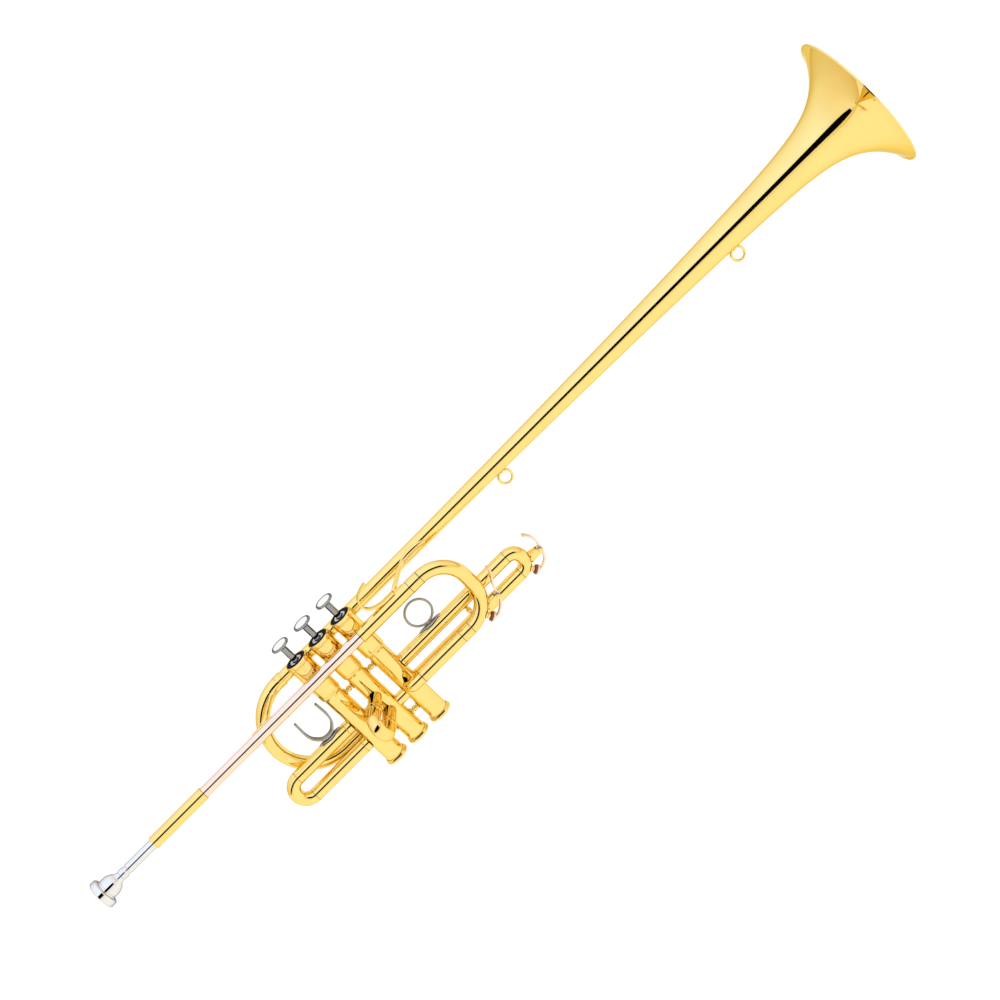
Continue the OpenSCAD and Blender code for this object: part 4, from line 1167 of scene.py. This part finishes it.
class TRUMPET_OT_third_slide(bpy.types.Operator):
    """Builds the third slide: sleeves, crook, nipple, finger ring and stop post"""
    bl_idname = "trumpet.third_slide"
    bl_label = "Third slide"

    def execute(self, context):
        upper, lower, lip_r = tube_lines("third_slide_sleeves")
        outer = lip_r - BEAD_LIP
        start_x, end_x = (corner.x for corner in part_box("third_slide_sleeves"))
        start = start_x / MM
        bands = [(start + 11.3, 1.3, 0.25), (start + 0.9, 1.2, 0.14), (end_x / MM - 0.9, 0.3, -0.18)]
        sleeves = pair_of_tubes(
            "third_sleeves", start_x, end_x, (upper, lower), outer, outer - 0.4 * MM, bands)
        hand_over(sleeves, "third_slide", "third_slide_sleeves")
        centre = Vector((end_x, 0, (upper + lower) / 2))
        radius = (upper - lower) / 2
        sizes = settings()[0]
        def crook(bm):
            path = crook_path(centre, X, radius)
            sweep_tube(bm, path, [outer] * len(path), sizes.wall, sizes.sides, Y)
            nipple(bm, centre, toward_turn(THIRD_KEY_TURNS[1]), (radius + outer) / MM, 19.5)
        hand_over(mesh_object("third_crook", crook), "third_slide", "third_slide_crook")
        self.add_ring(upper, outer)
        self.add_stop(upper, lower, outer)
        return {"FINISHED"}

    def add_ring(self, tube_z, tube_r):
        """The finger ring, brazed to a turned post on a leaf foot."""
        centre = Vector((RING_X, 0, RING_Z))
        def build(bm):
            ring(bm, centre, Y, RING_R, 1.1 * MM, 96)
            top = Vector((centre.x, 0, tube_z + tube_r))
            rise = (centre.z - RING_R - top.z) / MM
            post = [(-0.4, 0), (-0.4, 4.1), (0.4, 3.4), (rise * 0.5, 2.0), (rise - 0.2, 2.6),
                    (rise + 0.5, 1.4), (rise + 0.6, 0)]
            lathe(bm, top, Z, post, 0.3, 36, False)
            foot_on_tube(bm, Vector((centre.x, 0, tube_z)), tube_r, pi / 2, 26, 9.5)
        piece = mesh_object("finger_ring_wire", build)
        hand_over(piece, "third_slide", "finger_ring", slot="bright_nickel", finish="warm_nickel")

    def add_stop(self, upper, lower, tube_r):
        """A turned knob on a post between the two tubes."""
        x = middle("third_slide_stop").x
        half = (upper - lower) / 2 / MM - tube_r / MM + 0.3
        points = [(-half, 0), (-half, 3.0), (-half + 0.5, 2.6), (-half + 0.9, 1.6), (-1.9, 1.5),
                  (-1.5, 2.3), (0, 2.6), (1.5, 2.3), (1.9, 1.5), (half - 0.9, 1.6), (half - 0.5, 2.6),
                  (half, 3.0), (half, 0)]
        post = turned("stop_post", Vector((x, 0, (upper + lower) / 2)), Z, points, 0.25 * MM, 40, False)
        hand_over(post, "third_slide", "third_slide_stop")


class TRUMPET_OT_tuning_slide(bpy.types.Operator):
    """Bends the tuning slide's bow, with its legs, ferrules and drain nipple"""
    bl_idname = "trumpet.tuning_slide"
    bl_label = "Tuning slide"

    def execute(self, context):
        sizes = settings()[0]
        tube_r = half_width("tuning_bow")
        bend = sizes.tuning_bend
        centre = tuning_bend_centre()
        upper_centre = Vector((centre.x, centre.y, LEAD_LINE.z - bend))
        path = arc(upper_centre, Z, X, bend, 0, pi / 2, radians(3))
        path += arc(centre, X, -Z, bend, 0, pi / 2, radians(3))
        def build(bm):
            sweep_tube(bm, path, [tube_r] * len(path), sizes.wall, 72, Y)
            nipple(bm, centre, toward_turn(TUNING_KEY_TURNS[1]), (bend + tube_r) / MM, 38)
        hand_over(mesh_object("tuning_bow_tube", build), "tuning_slide", "tuning_bow")
        self.fit_legs(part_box("tuning_bow")[0].x, (LEAD_LINE.z, lower_leg_z()))
        return {"FINISHED"}

    def fit_legs(self, end, heights):
        """Inner legs, and a ferrule on each with a raised band where it meets the bow."""
        inner = settings()[0].inner_radius
        first_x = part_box("tuning_ferrules")[0].x
        outer = half_width("tuning_ferrules")
        def legs(bm):
            for z, start in zip(heights, LEG_STARTS):
                points = tube_profile(start / MM, end / MM, inner / MM, inner / MM - 0.4)
                lathe(bm, Vector((0, LEAD_LINE.y, z)), X, points, 0.1, 80)
        hand_over(mesh_object("tuning_legs", legs), "tuning_slide", "tuning_slide_legs")
        def ferrules(bm):
            for z, start in zip(heights, (first_x, first_x + 1 * MM)):
                bands = [(start / MM + 0.75, 1.3, 0.0), (end / MM - 0.9, 1.0, 0.16)]
                points = tube_profile(start / MM, end / MM, outer / MM - 0.15, inner / MM + 0.02, bands)
                lathe(bm, Vector((0, LEAD_LINE.y, z)), X, points, 0.3, 96)
        hand_over(mesh_object("tuning_ferrule_pair", ferrules), "tuning_slide", "tuning_ferrules")


# ---- water keys

class WaterKey:
    """One water key's places, in millimetres from the centre of the bend that it stands on.

    skin is the bend's outside, cork_at the cork's near face and tip the lever's end over the cork.
    """

    def __init__(self, name, centre, skin, turns, cork_at, tip, line):
        self.name = name
        self.centre = centre
        self.skin = skin
        self.foot_turn, self.cork_turn = turns
        self.cork_at = cork_at
        self.pivot = joint_place(f"{name}_key_press")
        end = toward_turn(self.cork_turn) * tip
        self.line = [(end.x, end.z), *line]

    def at(self, x, z):
        """A place beside the bend's centre."""
        return self.centre + Vector((x, 0, z)) * MM

    def build(self):
        """Makes the saddle, lever, cork and spring."""
        key = f"{self.name}_key"
        hand_over(mesh_object(f"{self.name}_saddle", self.saddle), f"{self.name}_slide", f"{key}_saddle")
        hand_over(mesh_object(f"{self.name}_lever", self.lever), key, f"{key}_lever", slot="rose_brass")
        near, far = self.cork_at, self.cork_at + 2.95
        points = [(near, 0), (near, 3.9), (near + 0.5, 4.15), (far - 0.45, 4.2), (far, 3.9), (far, 0)]
        cork = turned(f"{self.name}_cork", self.centre, toward_turn(self.cork_turn), points,
                      0.25 * MM, 48, False)
        hand_over(cork, key, f"{key}_cork", slot="cork")
        spring = mesh_object(f"{self.name}_spring", self.spring)
        hand_over(spring, key, f"{key}_spring", slot="spring_wire")

    def saddle(self, bm):
        """A round foot on the bend, two rounded ears and the headed pivot screw."""
        toward = toward_turn(self.foot_turn)
        foot = [(self.skin - 1.1, 0), (self.skin - 1.1, 4.9), (self.skin + 0.3, 4.85),
                (self.skin + 0.9, 4.3), (self.skin + 1.1, 0)]
        lathe(bm, self.centre, toward, foot, 0.25, 48, False)
        tangent = Vector((-toward.z, 0, toward.x))
        base = self.centre + toward * (self.skin + 0.1) * MM
        pivot = Vector((self.pivot.x, 0, self.pivot.z))
        flat_base = Vector((base.x, 0, base.z))
        away = (pivot - flat_base).normalized()
        across = Vector((-away.z, 0, away.x))
        head = arc(pivot, across, away, 2.25 * MM, 0, pi, radians(12))
        half_foot = tangent * 3.9 * MM * (1 if tangent.dot(across) > 0 else -1)
        shape = [Vector((p.x, p.z)) for p in (*head, flat_base - half_foot, flat_base + half_foot)]
        for side in (-1, 1):
            y = self.centre.y + side * 4.35 * MM
            plate(bm, shape, y - 0.5 * MM, y + 0.5 * MM, 0.16 * MM)
        pin = [(-5.2, 0), (-5.2, 0.9), (4.9, 0.95), (4.95, 1.9), (5.7, 1.75), (5.75, 0)]
        place = Vector((self.pivot.x, self.centre.y, self.pivot.z))
        lathe(bm, place, -Y, pin, 0.15, 28, False)

    def lever(self, bm):
        """A curved strip from the cork cup, round the pivot, to a spoon-shaped touch."""
        path = smooth([self.at(x, z) for x, z in self.line], 9)
        last = len(path) - 1
        widths = []
        for i in range(last + 1):
            t = i / last
            spoon = max(0.0, (t - 0.6) / 0.4)
            cup = max(0.0, 1 - t / 0.12)
            widths.append((1.8 + 0.9 * cup + 2.5 * sin(min(spoon, 0.93) * pi * 0.56)) * MM)
        widths[-1] = widths[-2] * 0.82
        first = toward_turn(self.cork_turn)
        ribbon(bm, path, 0.95 * MM, widths, first)
        place = Vector((self.pivot.x, self.centre.y, self.pivot.z))
        barrel = [(-3.6, 1.05), (-3.6, 1.9), (-3.3, 2.1), (-2.4, 2.1), (-2.2, 1.9), (2.2, 1.9),
                  (2.4, 2.1), (3.3, 2.1), (3.6, 1.9), (3.6, 1.05)]
        lathe(bm, place, Y, barrel, 0.15, 36)
        top = self.cork_at + 3
        cup = [(top - 1.3, 4.3), (top - 1.3, 4.75), (top + 0.2, 4.6), (top + 0.9, 3.6), (top + 1.2, 1.2),
               (top + 1.25, 0), (top + 0.05, 0), (top + 0.05, 4.25)]
        lathe(bm, self.centre, toward_turn(self.cork_turn), cup, 0.12, 48, False)

    def spring(self, bm):
        """Turns of wire round the near end of the barrel."""
        foot = Vector((self.pivot.x, self.centre.y - 3.5 * MM, self.pivot.z))
        coil(bm, foot, Y * 3.1 * MM, X, Z, 2.7 * MM, 0.36 * MM, 4, 16, 10)


class TRUMPET_OT_seams(bpy.types.Operator):
    """Lays the dark hairlines that show where tubes and sleeves meet: painted shade of the gaps there, with
    some real tarnish
    """
    bl_idname = "trumpet.seams"
    bl_label = "Seam lines"

    def execute(self, context):
        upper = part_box("upper_tuning_sleeve")
        sleeve_r = half_width("upper_tuning_sleeve")
        lead = (LEAD_LINE.y, LEAD_LINE.z)
        leg = (LEAD_LINE.y, lower_leg_z())
        bell = (BELL_LINE.y, BELL_LINE.z)
        horn = [(upper[0].x, lead, sleeve_r), (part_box("leadpipe")[0].x + 8 * MM, lead, 5.3 * MM),
                (upper[1].x, lead, sleeve_r), (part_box("lower_tuning_sleeve")[1].x, leg, sleeve_r),
                (LOWER_SLEEVE_X - 0.1 * MM, leg, sleeve_r), (BELL_TAIL, bell, settings()[0].tube_radius)]
        self.lines("tube_seams", horn, "horn")
        bow_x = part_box("tuning_bow")[0].x + 0.5 * MM
        self.lines("tuning_seams", [(bow_x, line, sleeve_r) for line in (lead, leg)], "tuning_slide")
        for slide, node, lip in (("first", "first_slide_crook", 0),
                                 ("third", "third_slide_sleeves", BEAD_LIP)):
            *heights, radius = tube_lines(node)
            places = [(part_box(node)[1].x, (0, z), radius - lip) for z in heights]
            self.lines(f"{slide}_seams", places, f"{slide}_slide")
        return {"FINISHED"}

    def lines(self, name, places, body):
        """One hairline of painted gap shade, with some tarnish, for each (X, (Y, Z), radius)."""
        def build(bm):
            for x, (y, z), radius in places:
                r = radius / MM
                points = [(-0.2, r - 0.3), (-0.2, r + 0.02), (-0.1, r + 0.05), (0.1, r + 0.05),
                          (0.2, r + 0.02), (0.2, r - 0.3)]
                lathe(bm, Vector((x, y, z)), X, points, 0, 72)
        hand_over(mesh_object(name, build), body, finish="seam_shadow")


class TRUMPET_OT_water_keys(bpy.types.Operator):
    """Builds both water keys with their corks and springs"""
    bl_idname = "trumpet.water_keys"
    bl_label = "Water keys"

    def execute(self, context):
        skin = (settings()[0].tuning_bend + half_width("tuning_bow")) / MM
        WaterKey("tuning", tuning_bend_centre(), skin, TUNING_KEY_TURNS, 38.08, 41.8, [
            (25.5, -36.5), (32.5, -31.5), (36.6, -24.4), (38.2, -17), (42.2, -9), (45.4, -3.6),
            (46.3, 1.4)]).build()
        low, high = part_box("third_slide_sleeves")
        centre = Vector((high.x, 0, (high.z + low.z) / 2))
        skin = ((high.z - low.z) / 2 - BEAD_LIP) / MM
        WaterKey("third", centre, skin, THIRD_KEY_TURNS, 19.58, 23.3, [
            (17.8, -19.2), (23.4, -15.4), (26.6, -9), (27.8, -3), (28.4, 3.5), (26.6, 9.5),
            (23.2, 14)]).build()
        return {"FINISHED"}


# ---- stage

SKY_BANKS = (  # degrees of climb from the near side's horizon, over the top, and the light there
    (-180, (0.80, 0.76, 0.66)), (-90, (0.86, 0.80, 0.70)), (8, (0.95, 0.89, 0.80)),
    (36, (0.99, 1.10, 1.42)), (50, (1.03, 1.18, 1.62)), (90, (1.02, 1.12, 1.42)),
    (150, (0.95, 0.97, 1.05)), (180, (0.86, 0.84, 0.78)))
GAP_CLIMB = (9.5, 33.5)             # the dark band that metal mirrors, in degrees of climb
GAP_ALONG = (-0.982, 0.62)          # its two ends, by the X of the direction
END_TINT = (0.95, 0.84, 0.66, 1)    # the sky's tint towards the trumpet's two ends
END_FADE = (0.35, 0.97)             # where that tint starts and is whole, by the X of the direction
FLOOR_LIGHT = (1.08, 1.08, 1.08, 1)  # the even light that all but mirroring metal gets
LAMP_SIZE, LAMP_POWER = (2.2, 0.8), 6
LAMP_PLACE, LAMP_AIM = Vector((0.19, -0.1, 2.2)), Vector((0.19, 0, 0))


class TRUMPET_OT_stage(bpy.types.Operator):
    """Sets the floor, the lamp, the sky and the camera round the trumpet"""
    bl_idname = "trumpet.stage"
    bl_label = "Stage"

    def execute(self, context):
        look = settings()[2]
        low, high = (Vector(corner) for corner in CAD_BOX)
        self.place_camera(context, look, low, high)
        self.lay_floor(look, low.z - look.floor_drop)
        self.hang_lamp(context)
        self.light_sky(context)
        context.scene.view_settings.view_transform = "Standard"
        return {"FINISHED"}

    def place_camera(self, context, look, low, high):
        """Looks across the trumpet from its near side, rolled so that the bell points down."""
        target = Vector(((low.x + high.x) / 2 + look.aim_ahead, 0, -look.aim_below))
        back = Vector((0, -cos(look.elevation), sin(look.elevation)))
        level_up = back.cross(X)
        right = X * cos(look.roll) - level_up * sin(look.roll)
        up = X * sin(look.roll) + level_up * cos(look.roll)
        camera = bpy.data.objects.new("camera", bpy.data.cameras.new("camera"))
        camera.data.lens = look.focal
        camera.data.clip_end = 60
        camera.matrix_world = (Matrix.Translation(target + back * look.distance)
                               @ Matrix((right, up, back)).transposed().to_4x4())
        context.collection.objects.link(camera)
        context.scene.camera = camera

    def lay_floor(self, look, level):
        """A wide pale floor with a very faint mottle."""
        bm = bmesh.new()
        bmesh.ops.create_grid(bm, x_segments=8, y_segments=8, size=14)
        data = bpy.data.meshes.new("floor")
        bm.to_mesh(data)
        bm.free()
        floor = bpy.data.objects.new("floor", data)
        floor.location = (0, 0, level)
        material, shader, tree = node_material("studio_floor")
        tone = tuple(look.floor_tint)
        tree.links.new(tint(tree, noise_of(tree, 3), shaded(tone, 0.99), tone), shader.inputs["Base Color"])
        shader.inputs["Roughness"].default_value = 1
        shader.inputs["Specular IOR Level"].default_value = 0
        data.materials.append(material)
        bpy.context.collection.objects.link(floor)

    def hang_lamp(self, context):
        """A wide soft lamp overhead, which the metal doesn't mirror."""
        data = bpy.data.lights.new("overhead", "AREA")
        data.shape = "RECTANGLE"
        data.size, data.size_y = LAMP_SIZE
        data.energy = LAMP_POWER
        back = (LAMP_PLACE - LAMP_AIM).normalized()
        lamp = bpy.data.objects.new("overhead", data)
        lamp.matrix_world = (Matrix.Translation(LAMP_PLACE)
                             @ Matrix((X, back.cross(X), back)).transposed().to_4x4())
        lamp.visible_camera = False
        lamp.visible_glossy = False
        context.collection.objects.link(lamp)

    def light_sky(self, context):
        """An even sky for the floor. Metal sees long banks of light along the trumpet, with a dark gap."""
        world = bpy.data.worlds.new("studio")
        context.scene.world = world
        world.use_nodes = True
        nodes, links = world.node_tree.nodes, world.node_tree.links
        def maths(operation, *values):
            """A maths node's result, from numbers and sockets."""
            node = nodes.new("ShaderNodeMath")
            node.operation = operation
            for socket, value in zip(node.inputs, values):
                if isinstance(value, (int, float)):
                    socket.default_value = value
                else:
                    links.new(value, socket)
            return node.outputs[0]
        def within(value, low, high):
            """1 between two limits, otherwise 0."""
            return maths("MULTIPLY", maths("GREATER_THAN", value, low), maths("LESS_THAN", value, high))
        def blended(factor, first, second, mode="MIX"):
            """Two colours, or a colour socket and a colour, mixed by a factor."""
            node = nodes.new("ShaderNodeMix")
            node.data_type = "RGBA"
            node.blend_type = mode
            links.new(factor, node.inputs["Factor"])
            for name, value in (("A", first), ("B", second)):
                if isinstance(value, tuple):
                    node.inputs[name].default_value = value
                else:
                    links.new(value, node.inputs[name])
            return node.outputs["Result"]
        split = nodes.new("ShaderNodeSeparateXYZ")
        links.new(nodes.new("ShaderNodeTexCoord").outputs["Generated"], split.inputs["Vector"])
        along, depth, height = split.outputs["X"], split.outputs["Y"], split.outputs["Z"]
        climb = maths("ARCTAN2", height, maths("MULTIPLY", depth, -1))
        ramp = nodes.new("ShaderNodeValToRGB")
        elements = ramp.color_ramp.elements
        while len(elements) < len(SKY_BANKS):
            elements.new(0.5)
        for element, (angle, value) in zip(elements, SKY_BANKS):
            element.position = (angle + 180) / 360
            element.color = (*value, 1)
        links.new(maths("MULTIPLY_ADD", climb, 0.5 / pi, 0.5), ramp.inputs["Fac"])
        endward = nodes.new("ShaderNodeMapRange")
        endward.interpolation_type = "SMOOTHSTEP"
        endward.inputs["From Min"].default_value, endward.inputs["From Max"].default_value = END_FADE
        links.new(maths("ABSOLUTE", along), endward.inputs["Value"])
        banks = blended(endward.outputs["Result"], ramp.outputs["Color"], END_TINT, "MULTIPLY")
        gap = maths("MULTIPLY", within(climb, *map(radians, GAP_CLIMB)), within(along, *GAP_ALONG))
        lit = nodes.new("ShaderNodeVectorMath")
        lit.operation = "SCALE"
        links.new(banks, lit.inputs[0])
        links.new(maths("SUBTRACT", 1, gap), lit.inputs["Scale"])
        mirrored = nodes.new("ShaderNodeLightPath").outputs["Is Glossy Ray"]
        links.new(blended(mirrored, FLOOR_LIGHT, lit.outputs[0]), nodes["Background"].inputs["Color"])


# ---- panel and run

PIECES = [
    TRUMPET_OT_finishes, TRUMPET_OT_bell, TRUMPET_OT_bow, TRUMPET_OT_leadpipe, TRUMPET_OT_mouthpiece,
    TRUMPET_OT_casings, TRUMPET_OT_buttons, TRUMPET_OT_valve_springs,
    TRUMPET_OT_spacers, TRUMPET_OT_braces, TRUMPET_OT_inner_tubes,
    TRUMPET_OT_first_slide, TRUMPET_OT_second_slide, TRUMPET_OT_third_slide, TRUMPET_OT_tuning_slide,
    TRUMPET_OT_seams, TRUMPET_OT_water_keys,
]
CLASSES = [TRUMPET_PG_sizes, TRUMPET_PG_finishes, TRUMPET_PG_stage, *PIECES, TRUMPET_OT_stage]


class TRUMPET_PT_panel(bpy.types.Panel):
    """Lists the trumpet's pieces, sizes and finishes"""
    bl_label = "Herald trumpet"
    bl_idname = "TRUMPET_PT_panel"
    bl_space_type = "VIEW_3D"
    bl_region_type = "UI"
    bl_category = "Trumpet"

    def draw(self, context):
        for piece in [*PIECES, TRUMPET_OT_stage]:
            self.layout.operator(piece.bl_idname)
        for group in settings():
            box = self.layout.box()
            for name in group.__annotations__:
                box.prop(group, name)


def register():
    """Adds the classes and the scene's settings."""
    for cls in [*CLASSES, TRUMPET_PT_panel]:
        bpy.utils.register_class(cls)
    bpy.types.Scene.trumpet_sizes = bpy.props.PointerProperty(type=TRUMPET_PG_sizes)
    bpy.types.Scene.trumpet_finishes = bpy.props.PointerProperty(type=TRUMPET_PG_finishes)
    bpy.types.Scene.trumpet_stage = bpy.props.PointerProperty(type=TRUMPET_PG_stage)


def unregister():
    """Takes them away again."""
    del bpy.types.Scene.trumpet_stage
    del bpy.types.Scene.trumpet_finishes
    del bpy.types.Scene.trumpet_sizes
    for cls in reversed([*CLASSES, TRUMPET_PT_panel]):
        bpy.utils.unregister_class(cls)


def main():
    """Builds the trumpet and its stage."""
    register()
    for piece in PIECES:
        area, action = piece.bl_idname.split(".")
        getattr(getattr(bpy.ops, area), action)()
    bpy.ops.trumpet.stage()
    bpy.context.view_layer.update()


if __name__ == "__main__":
    main()
